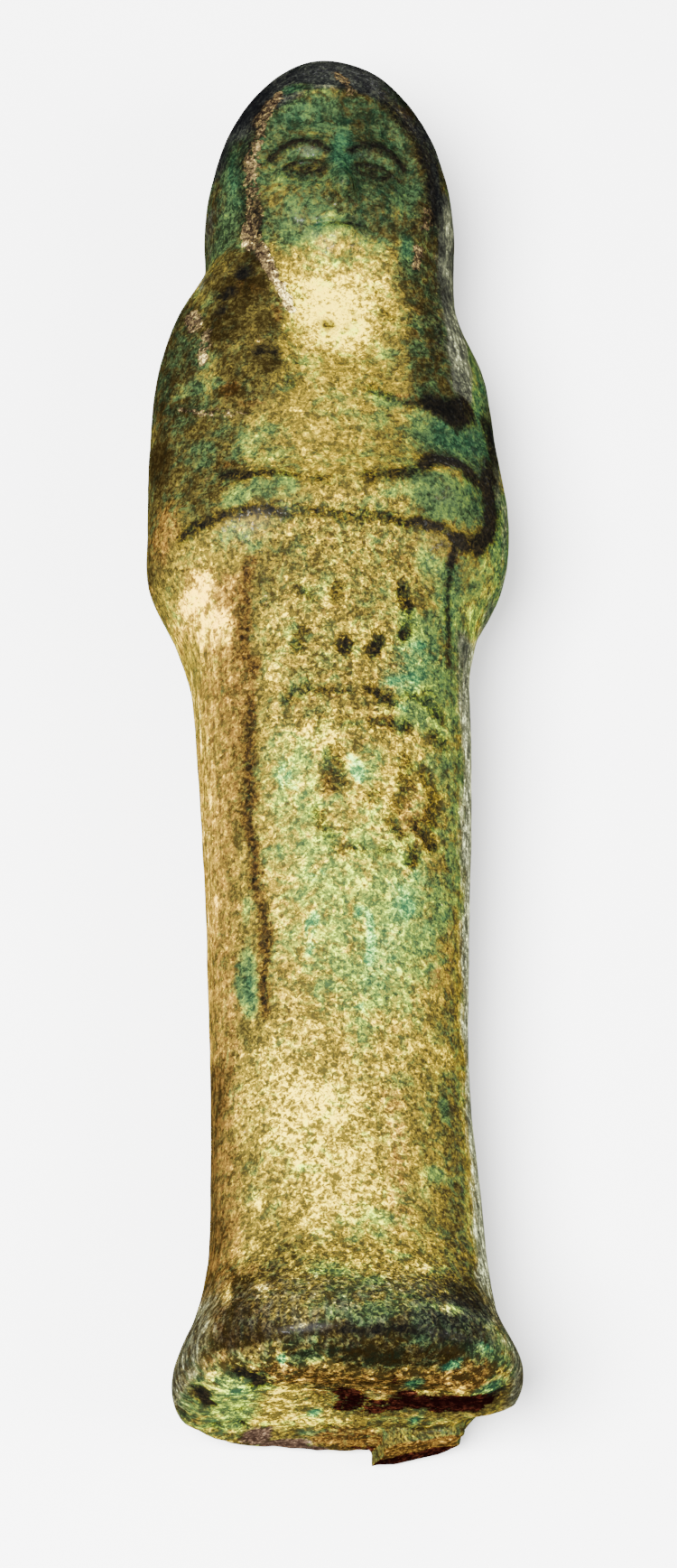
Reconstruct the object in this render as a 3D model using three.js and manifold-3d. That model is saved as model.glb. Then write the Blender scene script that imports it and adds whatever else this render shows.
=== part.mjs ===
// A mummiform funerary figurine of glazed faience, pressed in a mould and lying on its back.
// Millimetres. +Y runs from the sole to the crown, +Z is the front of the figure, +X its left hand.
import * as THREE from "three";
import Module from "manifold-3d";
import { mergeVertices } from "three/addons/utils/BufferGeometryUtils.js";

// ---------------------------------------------------------------- driving dimensions
const height = 105; // sole to crown

// The body from the sole up. "right" and "left" are the half-widths on the figure's own sides,
// "front" and "back" the heights of its front and back above the surface that it lies on.
const stations = [
  { name: "sole", up: 0, right: 11.4, left: 11.8, front: 19.4, back: -0.25 },
  { name: "rim", up: 3, right: 11.5, left: 11.85, front: 20.0, back: -0.25 },
  { name: "instep", up: 5, right: 10.7, left: 10.9, front: 19.2, back: -0.1 },
  { name: "arch", up: 7, right: 9.85, left: 10.35, front: 17.4, back: 0.35 },
  { name: "ankle", up: 10, right: 9.15, left: 10.1, front: 15.7, back: 1.0 },
  { name: "shin", up: 15, right: 8.75, left: 9.75, front: 14.6, back: 1.5 },
  { name: "calf", up: 24, right: 8.75, left: 9.15, front: 14.2, back: 1.8 },
  { name: "knee", up: 36, right: 9.0, left: 9.45, front: 14.6, back: 1.7 },
  { name: "thigh", up: 50, right: 9.65, left: 9.9, front: 15.6, back: 1.2 },
  { name: "hip", up: 56, right: 10.25, left: 9.85, front: 16.1, back: 0.9 },
  { name: "waist", up: 58.6, right: 11.4, left: 10.6, front: 16.3, back: 0.8 },
  { name: "elbow", up: 62, right: 13.05, left: 12.35, front: 16.6, back: 0.6 },
  { name: "forearm", up: 66.5, right: 13.15, left: 13.1, front: 16.7, back: 0.3 },
  { name: "arm", up: 74, right: 12.9, left: 12.35, front: 15.9, back: -0.2 },
  { name: "shoulder", up: 80, right: 12.25, left: 11.65, front: 15.1, back: -0.25 },
  { name: "neck", up: 84, right: 11.0, left: 9.95, front: 14.9, back: -0.25 },
  { name: "nape", up: 88, right: 8.9, left: 9.65, front: 15.8, back: -0.25 },
  { name: "wig", up: 93, right: 9.1, left: 9.95, front: 16.4, back: -0.25 },
  { name: "crown", up: height, right: 9.1, left: 9.95, front: 16.4, back: -0.25 },
];
const sideShare = 0.46; // height of the widest line, as a share of the depth
const frontFullness = 2.15; // superellipse exponents of the cross-section
const backFullness = 2.8;

const dome = { start: 87, sideFullness: 2.3, frontFullness: 3.0 }; // the crown of the wig
const sole = { toeRounding: 2.8, heelRounding: 0.8, hollow: 0.5 };
// The corner broken off the heel on the left-hand side.
const chip = { across: 11.5, above: 4.5, radius: 4.6, depth: 2.2, reach: 6 };

// The face is laid out in thirds of its length and fifths of its width.
const hairline = 98.6;
const chinLine = 85.2;
const third = (hairline - chinLine) / 3;
const fifth = 2.44;
const face = {
  centre: (hairline + chinLine) / 2,
  halfWidth: 2.5 * fifth,
  halfHeight: (hairline - chinLine) / 2 + 0.3,
  narrowing: 0.16, // how much the jaw is narrower than the temples
  curve: 8.6, // radius of the face from cheek to cheek
  forehead: { up: hairline - 0.6, above: 15.2 },
  brow: { up: hairline - third, above: 15.7 },
  lip: { up: chinLine + 0.6 * third, above: 15.8 },
  jaw: { up: chinLine, above: 14.6 },
  throat: { up: chinLine - 1.6, above: 13.4 },
};
const browRidge = { from: [0.8, 94.2], top: [2.6, 94.9], to: [4.5, 93.9], radius: 0.9, height: 0.3 };
const nose = {
  tip: chinLine + 1.12 * third,
  base: chinLine + third,
  bridge: 93.9,
  height: 2.1,
  wing: fifth / 2,
};
const eye = { across: fifth, up: 92.6, reach: 1.35, rise: 0.72, height: 0.42, socket: 1.75, depth: 0.5 };
const cheek = { across: 3.4, up: 89.9, radius: 2.5, height: 0.35 };
const lips = [
  { up: chinLine + 0.72 * third, halfWidth: 1.9, halfHeight: 0.62, height: 0.4 },
  { up: chinLine + 0.48 * third, halfWidth: 1.5, halfHeight: 0.66, height: 0.45 },
];
const chin = { up: chinLine + 0.2 * third, radius: 1.9, height: 0.5 };

const lappet = {
  bottom: 72.8,
  top: 88,
  innerTop: 3.5, // half the gap between the lappets at the throat
  innerBottom: 4.4,
  outer: 9.2,
  thickness: 0.6,
  edge: 0.8,
};
const wigEdge = { width: 0.3, height: 0.35 }; // the thick border of the wig around the face
const throat = { bottom: 76.2, top: 85, halfWidth: 4.4, depth: 0.55 };

// Each forearm runs from its elbow to its fist, [across, up]; the second lies over the first.
const forearms = [
  { from: [12.4, 63.4], to: [-6.6, 66.0], radius: 2.6, height: 0.6 },
  { from: [-12.6, 63.6], to: [7.6, 67.0], radius: 2.7, height: 0.85 },
];
const fist = { radius: 2.5, height: 0.4 };

// What is left of a thicker sole: a broken ledge along the heel. [across, above]
const ledge = {
  outline: [
    [3.0, 0.8], [4.4, 0.45], [6.2, 0.7], [7.9, 1.2], [9.0, 2.4], [8.5, 3.4],
    [8.9, 4.6], [7.4, 5.3], [5.6, 4.9], [4.2, 5.4], [3.3, 4.4], [3.6, 2.7],
  ],
  thickness: 1.7, // how far its near end stands below the sole
  root: 1.8, // how far it reaches into the body
  skew: 0.2, // its broken face slopes up towards the broken corner
};

// ---------------------------------------------------------------- the grid of the skin
const frontColumns = 38;
const backColumns = 18;
const columns = frontColumns + backColumns;
const crowding = 0.3; // how much closer the columns stand in the middle of the front
const soleRings = 5;
const crownRings = 8;
// [from, to, rings], closer together where the relief is finer.
const bodyZones = [
  [0, 3, 4], [3, 12, 8], [12, 58, 14], [58, 72, 12], [72, 84, 9], [84, 99.5, 24],
];

// ---------------------------------------------------------------- helpers
const { clamp, lerp, smoothstep } = THREE.MathUtils;

// A smooth curve through [position, value] points.
function curveThrough(points) {
  const curve = new THREE.CubicInterpolant(
    new Float32Array(points.map((p) => p[0])),
    new Float32Array(points.map((p) => p[1])),
    1,
  );
  return (at) => curve.evaluate(at)[0];
}

const signedPower = (value, power) => Math.sign(value) * Math.abs(value) ** power;

// A rounded mound, 1 at its middle and 0 from its edge on.
const mound = (distance) => (distance < 1 ? (1 - distance ** 2) ** 1.5 : 0);

// A step of 1 between two limits, with a soft edge on both.
const between = (value, low, high, edge) =>
  smoothstep(value, low - edge, low + edge) * (1 - smoothstep(value, high - edge, high + edge));

// How far a point is from a straight line between two points.
function toSegment(across, up, [fromAcross, fromUp], [toAcross, toUp]) {
  const runAcross = toAcross - fromAcross;
  const runUp = toUp - fromUp;
  const along = clamp(
    ((across - fromAcross) * runAcross + (up - fromUp) * runUp) / (runAcross ** 2 + runUp ** 2),
    0,
    1,
  );
  return Math.hypot(across - fromAcross - along * runAcross, up - fromUp - along * runUp);
}

// ---------------------------------------------------------------- the body's cross-sections
const outline = (side) => curveThrough(stations.map((station) => [station.up, station[side]]));
const rightHand = outline("right");
const leftHand = outline("left");
const front = outline("front");
const back = outline("back");

// 1 below the crown, and falling to 0 at its top along a superellipse.
function domeShare(up, fullness) {
  const rise = clamp((up - dome.start) / (height - dome.start), 0, 1);
  return (1 - rise ** fullness) ** (1 / fullness);
}

// How far the worn lower edge of the foot is drawn in, from 1 at the toes to -1 at the heel.
function footInset(up, facing) {
  const rounding = lerp(sole.heelRounding, sole.toeRounding, (facing + 1) / 2);
  const below = clamp(rounding - up, 0, rounding);
  return rounding - Math.sqrt(rounding ** 2 - below ** 2);
}

// How far the broken corner of the heel has moved the skin up.
function brokenOff(across, up, above) {
  const distance = Math.hypot(across - chip.across, above - chip.above) / chip.radius;
  return chip.depth * mound(distance) * (1 - smoothstep(up, 0, chip.reach));
}

// ---------------------------------------------------------------- relief on the front
const faceBase = curveThrough(
  [face.throat, face.jaw, face.lip, face.brow, face.forehead].map(({ up, above }) => [up, above]),
);

// How far out of the face's oval a point is: 1 on its outline.
function faceReach(across, up) {
  const rise = (up - face.centre) / face.halfHeight;
  const halfWidth = face.halfWidth * (1 + face.narrowing * rise);
  return Math.hypot(across / halfWidth, rise);
}

function browRelief(side, up) {
  const distance = Math.min(
    toSegment(side, up, browRidge.from, browRidge.top),
    toSegment(side, up, browRidge.top, browRidge.to),
  );
  return browRidge.height * mound(distance / browRidge.radius);
}

function noseRelief(side, up) {
  const rise = (up - nose.tip) / (nose.bridge - nose.tip);
  const fall = (up - nose.base) / (nose.tip - nose.base);
  const ridge = rise > 0 ? clamp(1 - rise, 0, 1) ** 0.85 : smoothstep(fall, -0.6, 1);
  const halfWidth = nose.wing * lerp(1, 0.55, smoothstep(rise, 0, 0.5));
  return nose.height * ridge * mound(side / halfWidth / 1.15);
}

function eyeRelief(side, up) {
  const alongside = (side - eye.across) / eye.reach;
  const ball = Math.hypot(alongside, (up - eye.up) / eye.rise);
  const socket = Math.hypot((side - eye.across) / eye.socket, (up - eye.up - 0.2) / eye.socket);
  return eye.height * mound(ball) - eye.depth * mound(socket);
}

function faceHeight(across, up) {
  const side = Math.abs(across);
  let above = faceBase(up) - across ** 2 / (2 * face.curve);
  above += browRelief(side, up) + noseRelief(side, up) + eyeRelief(side, up);
  above += cheek.height * mound(Math.hypot(side - cheek.across, up - cheek.up) / cheek.radius);
  above += chin.height * mound(Math.hypot(side, up - chin.up) / chin.radius);
  for (const lip of lips)
    above += lip.height * mound(Math.hypot(side / lip.halfWidth, (up - lip.up) / lip.halfHeight));
  return above;
}

function wigRelief(across, up) {
  const side = Math.abs(across);
  const share = clamp((up - lappet.bottom) / (lappet.top - lappet.bottom), 0, 1);
  const inner = lerp(lappet.innerBottom, lappet.innerTop, share);
  const hanging =
    between(side, inner, lappet.outer, lappet.edge) *
    smoothstep(up, lappet.bottom - lappet.edge, lappet.bottom + lappet.edge) *
    (1 - smoothstep(up, lappet.top - 4, lappet.top));
  const border = Math.exp(-(((faceReach(across, up) - 1.08) / wigEdge.width) ** 2));
  return lappet.thickness * hanging + wigEdge.height * border * smoothstep(up, 86, 89);
}

function throatRelief(across, up) {
  const hollow = between(up, throat.bottom, throat.top, 1.2);
  return -throat.depth * hollow * mound(Math.abs(across) / throat.halfWidth);
}

function armsRelief(across, up) {
  let relief = 0;
  for (const arm of forearms) {
    const sleeve = arm.height * mound(toSegment(across, up, arm.from, arm.to) / arm.radius);
    const hand = fist.height * mound(Math.hypot(across - arm.to[0], up - arm.to[1]) / fist.radius);
    relief = Math.max(relief, sleeve + hand);
  }
  return relief;
}

// The height of the front, with its relief, where the plain body would be at "plain".
function carve(across, up, plain) {
  const carved = plain + wigRelief(across, up) + throatRelief(across, up) + armsRelief(across, up);
  const inFace = 1 - smoothstep(faceReach(across, up), 0.8, 1.08);
  return lerp(carved, faceHeight(across, up), inFace);
}

// ---------------------------------------------------------------- the skin as one closed mesh
// Every ring of the skin: its height, and how far it is drawn in towards the middle of the sole.
function ringLevels() {
  const rings = [];
  for (let ring = 0; ring <= soleRings; ring++) {
    const share = ring / soleRings;
    rings.push({ up: sole.hollow * (1 - share ** 2), share });
  }
  for (const [from, to, count] of bodyZones)
    for (let ring = 1; ring <= count; ring++) rings.push({ up: lerp(from, to, ring / count), share: 1 });
  const domeFoot = bodyZones.at(-1)[1];
  for (let ring = 1; ring <= crownRings; ring++) {
    const share = ring / crownRings;
    rings.push({ up: lerp(domeFoot, height, 1 - (1 - share) ** 2), share: 1 });
  }
  return rings;
}

// The angle of a column: the front has more columns, which crowd together in its middle.
function angleOf(column) {
  if (column >= frontColumns) return Math.PI * (1 + (column - frontColumns) / backColumns);
  const share = column / frontColumns;
  return Math.PI * (share + (crowding * Math.sin(2 * Math.PI * share)) / (2 * Math.PI));
}

function skinPoint({ up, share }, angle) {
  const level = share < 1 ? 0 : up;
  const sideways = Math.cos(angle);
  const facing = Math.sin(angle);
  const inset = footInset(level, facing);
  const middle = lerp(back(level), front(level), sideShare);
  const power = 2 / (facing >= 0 ? frontFullness : backFullness);
  const halfWidth = sideways > 0 ? rightHand(level) : leftHand(level);
  const depth = facing >= 0 ? front(level) - middle : middle - back(level);
  const narrowing = domeShare(level, dome.sideFullness);
  const flattening = domeShare(level, facing >= 0 ? dome.frontFullness : dome.sideFullness);
  const across = -share * (halfWidth - inset) * narrowing * signedPower(sideways, power);
  const plain = middle + share * (depth - inset) * flattening * signedPower(facing, power);
  const onFront = share === 1 ? smoothstep(facing, 0.12, 0.4) : 0;
  const above = lerp(plain, carve(across, up, plain), onFront);
  return new THREE.Vector3(across, up + brokenOff(across, up, above), Math.max(above, 0));
}

function skinGeometry() {
  const rings = ringLevels();
  const geometry = new THREE.SphereGeometry(1, columns, rings.length - 1);
  const { position, uv } = geometry.attributes;
  for (let vertex = 0; vertex < position.count; vertex++) {
    const column = vertex % (columns + 1);
    const ring = rings[Math.round(uv.getY(vertex) * (rings.length - 1))];
    const { x, y, z } = skinPoint(ring, angleOf(column % columns));
    position.setXYZ(vertex, x, y, z);
  }
  return geometry;
}

function ledgeGeometry() {
  const outline = new THREE.Shape(ledge.outline.map(([across, above]) => new THREE.Vector2(across, above)));
  const geometry = new THREE.ExtrudeGeometry(outline, {
    depth: ledge.thickness + ledge.root,
    bevelEnabled: false,
  });
  // The outline lies across the sole, and the depth runs from its root down to its broken face.
  geometry.applyMatrix4(new THREE.Matrix4().makeBasis(
    new THREE.Vector3(1, ledge.skew, 0),
    new THREE.Vector3(0, 0, 1),
    new THREE.Vector3(0, -1, 0),
  ));
  geometry.translate(0, ledge.root, 0);
  return geometry;
}

// ---------------------------------------------------------------- joined into one solid
const wasm = await Module();
wasm.setup();

function solidOf(geometry) {
  const bare = new THREE.BufferGeometry().setAttribute("position", geometry.getAttribute("position"));
  bare.setIndex(geometry.index);
  const merged = mergeVertices(bare, 1e-3);
  return new wasm.Manifold(
    new wasm.Mesh({
      numProp: 3,
      vertProperties: merged.attributes.position.array,
      triVerts: new Uint32Array(merged.index.array),
    }),
  );
}

function geometryOf(solid) {
  const { vertProperties, triVerts } = solid.getMesh();
  return new THREE.BufferGeometry()
    .setAttribute("position", new THREE.BufferAttribute(vertProperties, 3))
    .setIndex(new THREE.BufferAttribute(triVerts, 1));
}

const skin = solidOf(skinGeometry());
const figure = geometryOf(skin.add(solidOf(ledgeGeometry())));
// The origin is under the middle of the figure, on the surface that it lies on.
figure.computeBoundingBox();
const middle = figure.boundingBox.getCenter(new THREE.Vector3());
figure.translate(-middle.x, -middle.y, -figure.boundingBox.min.z);
figure.computeVertexNormals();

const faience = new THREE.MeshStandardMaterial({ color: 0x8a8450, roughness: 0.45, metalness: 0 });
const figurine = new THREE.Mesh(figure, faience);
figurine.name = "figurine";

const part = new THREE.Group();
part.add(figurine);
export default part;
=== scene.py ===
import math
import bpy
import numpy as np
from mathutils import Matrix, Vector


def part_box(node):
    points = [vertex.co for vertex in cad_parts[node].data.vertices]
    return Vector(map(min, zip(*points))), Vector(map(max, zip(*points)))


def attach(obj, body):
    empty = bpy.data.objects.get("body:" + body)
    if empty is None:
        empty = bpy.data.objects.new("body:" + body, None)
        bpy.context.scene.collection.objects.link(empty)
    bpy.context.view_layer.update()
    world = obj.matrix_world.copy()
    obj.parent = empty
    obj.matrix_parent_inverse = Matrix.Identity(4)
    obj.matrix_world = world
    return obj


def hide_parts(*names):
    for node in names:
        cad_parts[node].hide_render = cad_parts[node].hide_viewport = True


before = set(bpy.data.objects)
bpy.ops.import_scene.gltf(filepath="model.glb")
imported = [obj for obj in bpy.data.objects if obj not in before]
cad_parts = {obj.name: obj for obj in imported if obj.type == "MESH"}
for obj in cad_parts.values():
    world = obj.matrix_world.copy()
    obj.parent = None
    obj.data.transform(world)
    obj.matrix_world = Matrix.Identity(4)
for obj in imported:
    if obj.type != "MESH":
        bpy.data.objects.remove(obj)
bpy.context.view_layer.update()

# ---------------------------------------------------------------- the fired body
# A mummiform figure of quartz faience, pressed in a mould, glazed green and fired in one piece.
# Its skin is the frame's solid with finer faces. The sections below it carve and paint that skin.
MM = 1000  # in a metre
HEIGHT = 105  # mm from the sole to the crown
LEG_ZONE = (12, 58)  # where the solid's rings stand far apart
LONG_EDGE = 2  # mm
SOLE_ZONE = 1.2  # mm up from the sole, where its painting needs the finest faces
SOLE_EDGE = 1.1  # mm
SOLE_CUTS = 2
MERGE = 1e-6  # m
LEDGE_CREASE = 0.6
LEDGE_TOP = -0.1  # mm up from the sole
SMOOTHING = 2  # subdivision levels

low, high = (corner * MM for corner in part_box("figurine"))
sole_level = high.y - HEIGHT

bpy.ops.object.select_all(action="DESELECT")
body = bpy.data.objects.new("faience_body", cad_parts["figurine"].data.copy())
bpy.context.scene.collection.objects.link(body)
bpy.context.view_layer.objects.active = body
body.select_set(True)
bpy.ops.object.mode_set(mode="EDIT")
bpy.ops.mesh.select_all(action="SELECT")
bpy.ops.mesh.customdata_custom_splitnormals_clear()
bpy.ops.mesh.remove_doubles(threshold=MERGE)
bpy.ops.mesh.tris_convert_to_quads()
bpy.ops.mesh.select_mode(type="EDGE")
bpy.ops.mesh.select_all(action="DESELECT")
bpy.ops.object.mode_set(mode="OBJECT")
for edge in body.data.edges:
    start, end = (body.data.vertices[corner].co * MM for corner in edge.vertices)
    run = end - start
    in_legs = all(LEG_ZONE[0] <= point.y - sole_level <= LEG_ZONE[1] for point in (start, end))
    edge.select = in_legs and abs(run.y) > LONG_EDGE and abs(run.y) > 2 * math.hypot(run.x, run.z)
bpy.ops.object.mode_set(mode="EDIT")
bpy.ops.mesh.subdivide(number_cuts=1)
for cut in range(SOLE_CUTS):
    bpy.ops.mesh.select_all(action="DESELECT")
    bpy.ops.object.mode_set(mode="OBJECT")
    for edge in body.data.edges:
        start, end = (body.data.vertices[corner].co * MM for corner in edge.vertices)
        in_sole = max(start.y, end.y) < sole_level + SOLE_ZONE
        edge.select = in_sole and (end - start).length > SOLE_EDGE
    bpy.ops.object.mode_set(mode="EDIT")
    bpy.ops.mesh.subdivide(number_cuts=1)
bpy.ops.object.mode_set(mode="OBJECT")

# The broken ledge under the sole keeps its sharp edges.
crease = body.data.attributes.new("crease_edge", "FLOAT", "EDGE")
for edge in body.data.edges:
    upper_end = max(body.data.vertices[corner].co.y for corner in edge.vertices)
    if upper_end * MM < sole_level + LEDGE_TOP:
        crease.data[edge.index].value = LEDGE_CREASE
bpy.ops.object.modifier_add(type="SUBSURF")
body.modifiers["Subdivision"].levels = SMOOTHING
body.modifiers["Subdivision"].render_levels = SMOOTHING
bpy.ops.object.modifier_apply(modifier="Subdivision")
bpy.ops.object.shade_smooth()

count = len(body.data.vertices)
points = np.empty(count * 3)
body.data.vertices.foreach_get("co", points)
points = points.reshape(-1, 3) * MM
outward = np.empty(count * 3)
body.data.vertex_normals.foreach_get("vector", outward)
outward = outward.reshape(-1, 3)
across = points[:, 0]
up = points[:, 1] - sole_level
above = points[:, 2]


def rise(value, start, end):
    """A smooth step from 0 at start to 1 at end."""
    share = np.clip((value - start) / (end - start), 0, 1)
    return share * share * (3 - 2 * share)


def grain(size, seed):
    """Smooth random unevenness from -1 to 1, with humps about size mm across."""
    cells = points / size
    corner = np.floor(cells).astype(int)
    share = cells - corner
    share = share * share * (3 - 2 * share)
    corner -= corner.min(0)
    lattice = np.random.default_rng(seed).uniform(-1, 1, corner.max(0) + 2)
    total = np.zeros(count)
    for step in np.ndindex(2, 2, 2):
        weight = np.prod(np.where(step, share, 1 - share), axis=1)
        total += weight * lattice[tuple((corner + step).T)]
    return total


# A hand-laid glaze has no straight edges, so each mark is laid on coordinates that wander a little.
class Side:
    """One side of the figure, as its painter sees it: two directions in mm, and where it shows."""

    def __init__(self, first, second, shows):
        self.first = first + 0.35 * grain(2.2, 1) + 0.15 * grain(0.7, 2)
        self.second = second + 0.35 * grain(2.2, 3) + 0.15 * grain(0.7, 4)
        self.shows = shows

    def dab(self, first, second, half_first, half_second):
        """A soft round touch, full at its middle and gone at its edge."""
        distance = np.hypot((self.first - first) / half_first, (self.second - second) / half_second)
        return self.shows * (1 - rise(distance, 0.2, 1.15))

    def inside(self, route, half_width):
        """How many mm a point lies inside a brush stroke along a route of [first, second] points."""
        nearest = np.full(count, np.inf)
        for (a, b), (c, d) in zip(route[:-1], route[1:]):
            length = (c - a) ** 2 + (d - b) ** 2
            along = ((self.first - a) * (c - a) + (self.second - b) * (d - b)) / length
            along = np.clip(along, 0, 1)
            distance = np.hypot(self.first - a - along * (c - a), self.second - b - along * (d - b))
            nearest = np.minimum(nearest, distance)
        return np.where(self.shows > 0.02, half_width - nearest, -half_width - 2)

    def wash(self, route, half_width, soft):
        """A broad stroke with a soft edge."""
        return self.shows * rise(self.inside(route, half_width), -soft, soft)


front = Side(across, up, rise(above, 3.5, 7))
end = Side(across, above, rise(-outward[:, 1], 0.45, 0.78) * (1 - rise(up, 2.5, 5)))

# Tone runs from 0, thick dark glaze, to 1, bare cream body. In some places it is also set paler or darker
# as painted light and shade, and past 1 as painted highlights. Speckle and mottle say how strongly it
# varies over a fraction of a mm and over a mm. The others are shares of the surface.
LAYERS = ("tone", "green", "teal", "turquoise", "dark", "rust", "film", "crust", "streak",
          "speckle", "mottle")
paint = {layer: np.zeros(count) for layer in LAYERS}
ink = np.full(count, -3.0)  # mm inside the nearest dark brush stroke
ink_load = np.zeros(count)  # how much of that stroke is left
lift = np.zeros(count)  # mm that the relief stands out


def tint(layer, where, amount):
    """Brings a layer to an amount, as far as the touch covers it."""
    paint[layer] += where * (amount - paint[layer])


def dabs(side, layer, touches):
    """Lays rows of [first, second, half_first, half_second, amount] on a layer."""
    for first, second, half_first, half_second, amount in touches:
        tint(layer, side.dab(first, second, half_first, half_second), amount)


def washes(side, layer, strokes):
    """Lays rows of (route, half width, softness, amount) on a layer."""
    for route, half_width, soft, amount in strokes:
        tint(layer, side.wash(route, half_width, soft), amount)


def brush(side, route, half_width, load):
    """A dark stroke of the inscriber's brush, as far as it is left."""
    depth = side.inside(route, half_width)
    nearer = depth > ink
    ink[nearer] = depth[nearer]
    ink_load[nearer] = load


# The hidden back and sides have a plain olive glaze, thin and streaked along the sides.
paint["tone"] += 0.36
paint["green"] += 0.42
paint["speckle"] += 1
paint["mottle"] += 1
tint("tone", front.shows, 0.54)
tint("green", front.shows, 0.22)
beside = rise(np.abs(across), 6.8, 9.5) * (1 - rise(up, 56, 62)) * rise(above, 1, 4)
paint["streak"] += beside
lift += 0.05 * grain(5, 14) + 0.035 * grain(1.7, 15) + 0.015 * grain(0.8, 16)

# ---------------------------------------------------------------- the wrapped legs
# The front of the shins is rubbed down to the golden cream body, and its brightest middle is partly a
# painted highlight. A brown strip runs along the figure's right side, under a pale pink edge, and a grey
# film covers the other side, whose outer edge is painted paler as painted light and whose film is partly
# a painted sheen.
washes(front, "tone", [
    ([[-8.2, 2], [-8.0, 60]], 1.9, 0.8, 0.53),
    ([[7.6, 2], [7.6, 26]], 1.3, 1.2, 0.36),
    ([[7.4, 28], [7.8, 54]], 0.9, 1.0, 0.42),
    ([[-1.8, 11], [-2.6, 24.5]], 3.4, 1.8, 0.80),
    ([[5.3, 11], [5.4, 24]], 1.0, 1.0, 0.50),
    ([[-5.8, 9.5], [-5.2, 13.5]], 2.0, 1.4, 0.60),
    ([[-8.8, 4], [-8.5, 24]], 0.6, 0.8, 0.30),
    ([[-8.9, 34], [-9.4, 54]], 0.7, 0.7, 0.64),
    # The pale outer edge of the figure's left flank is painted light.
    ([[9.3, 10], [9.4, 58]], 1.2, 0.7, 0.68),
])
dabs(front, "tone", [
    [-2.0, 20.2, 3.2, 3.6, 0.90], [-3.6, 23.2, 2.4, 1.8, 0.84], [-1.2, 16.2, 3.0, 2.4, 0.83],
    [1.2, 13.6, 2.6, 1.8, 0.78], [3.0, 17.5, 1.5, 4.6, 0.68], [3.6, 11.0, 1.2, 1.4, 0.70],
    [2.8, 23.0, 2.2, 2.6, 0.60], [-6.4, 13.2, 0.5, 0.9, 0.82], [-5.0, 17.8, 0.9, 1.6, 0.86],
    [-6.9, 20.5, 1.2, 4.0, 0.64], [5.0, 18.0, 0.8, 1.8, 0.46], [6.9, 19.5, 1.1, 3.2, 0.40],
    [6.8, 24.5, 1.6, 1.5, 0.66], [5.2, 25.6, 1.2, 1.0, 0.64], [-0.6, 9.6, 2.6, 2.0, 0.56],
    [-4.2, 9.2, 1.8, 2.2, 0.40], [1.8, 7.8, 2.0, 1.6, 0.55], [-2.6, 7.6, 1.6, 2.0, 0.50],
    [6.8, 10.6, 1.6, 2.6, 0.40], [-6.6, 25.8, 1.8, 1.6, 0.46], [0.4, 24.2, 1.8, 1.8, 0.66],
    [5.0, 13.8, 0.6, 1.6, 0.66],
])
washes(front, "rust", [
    ([[-8.4, 2], [-8.5, 58]], 1.4, 0.9, 0.52),
    ([[3.0, 11.5], [3.0, 20.5]], 1.0, 1.0, 0.50),
    ([[7.2, 26], [7.3, 34]], 0.6, 0.8, 0.40),
])
washes(front, "green", [
    ([[-8.4, 4], [-8.4, 60]], 1.8, 0.8, -0.10),
    ([[-2.2, 12], [-2.6, 24]], 4.4, 1.6, 0.10),
    ([[7.4, 6], [7.6, 24]], 1.2, 1.0, 0.28),
    ([[7.7, 36], [7.7, 60]], 1.2, 1.0, 0.62),
])
dabs(front, "green", [
    [6.5, 20.6, 0.6, 1.3, 0.80], [5.9, 15.6, 0.9, 0.9, 0.95], [0.7, 11.0, 2.6, 1.6, 0.55],
    [0.6, 6.1, 0.8, 0.8, 0.95], [-0.6, 9.9, 0.7, 0.7, 0.70], [3.2, 13.0, 1.2, 1.0, 0.50],
    [0.6, 24.6, 1.4, 1.8, 0.58], [2.8, 21.4, 1.0, 1.0, 0.40], [-2.0, 7.0, 2.4, 2.0, 0.45],
])
# The grey film down the figure's left flank is partly a painted sheen along that grazing edge.
washes(front, "film", [
    ([[9.4, 8], [9.4, 56]], 1.0, 0.7, 0.85),
    ([[-9.3, 34], [-9.8, 54]], 0.4, 0.6, 0.30),
])

# ---------------------------------------------------------------- the inscription
# A panel down the front of the legs, framed by two brushed lines. Its worn signs are rows of plain
# shallow strokes, pressed in the paste and filled with dark glaze.
PANEL_FRAME = [
    ([[-6.6, 60.4], [-6.9, 57.0], [-6.6, 52.0]], 0.55, 0.52),
    ([[-6.9, 50.0], [-6.7, 45.0], [-6.4, 40.0], [-5.9, 36.0]], 0.55, 0.60),
    ([[-5.7, 35.0], [-5.6, 31.0], [-5.6, 26.8]], 0.45, 0.64),
    ([[7.9, 62.6], [7.5, 60.6]], 0.55, 0.95),
    ([[7.5, 60.6], [7.6, 57.5], [7.9, 53.5]], 0.36, 0.78),
]
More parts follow.
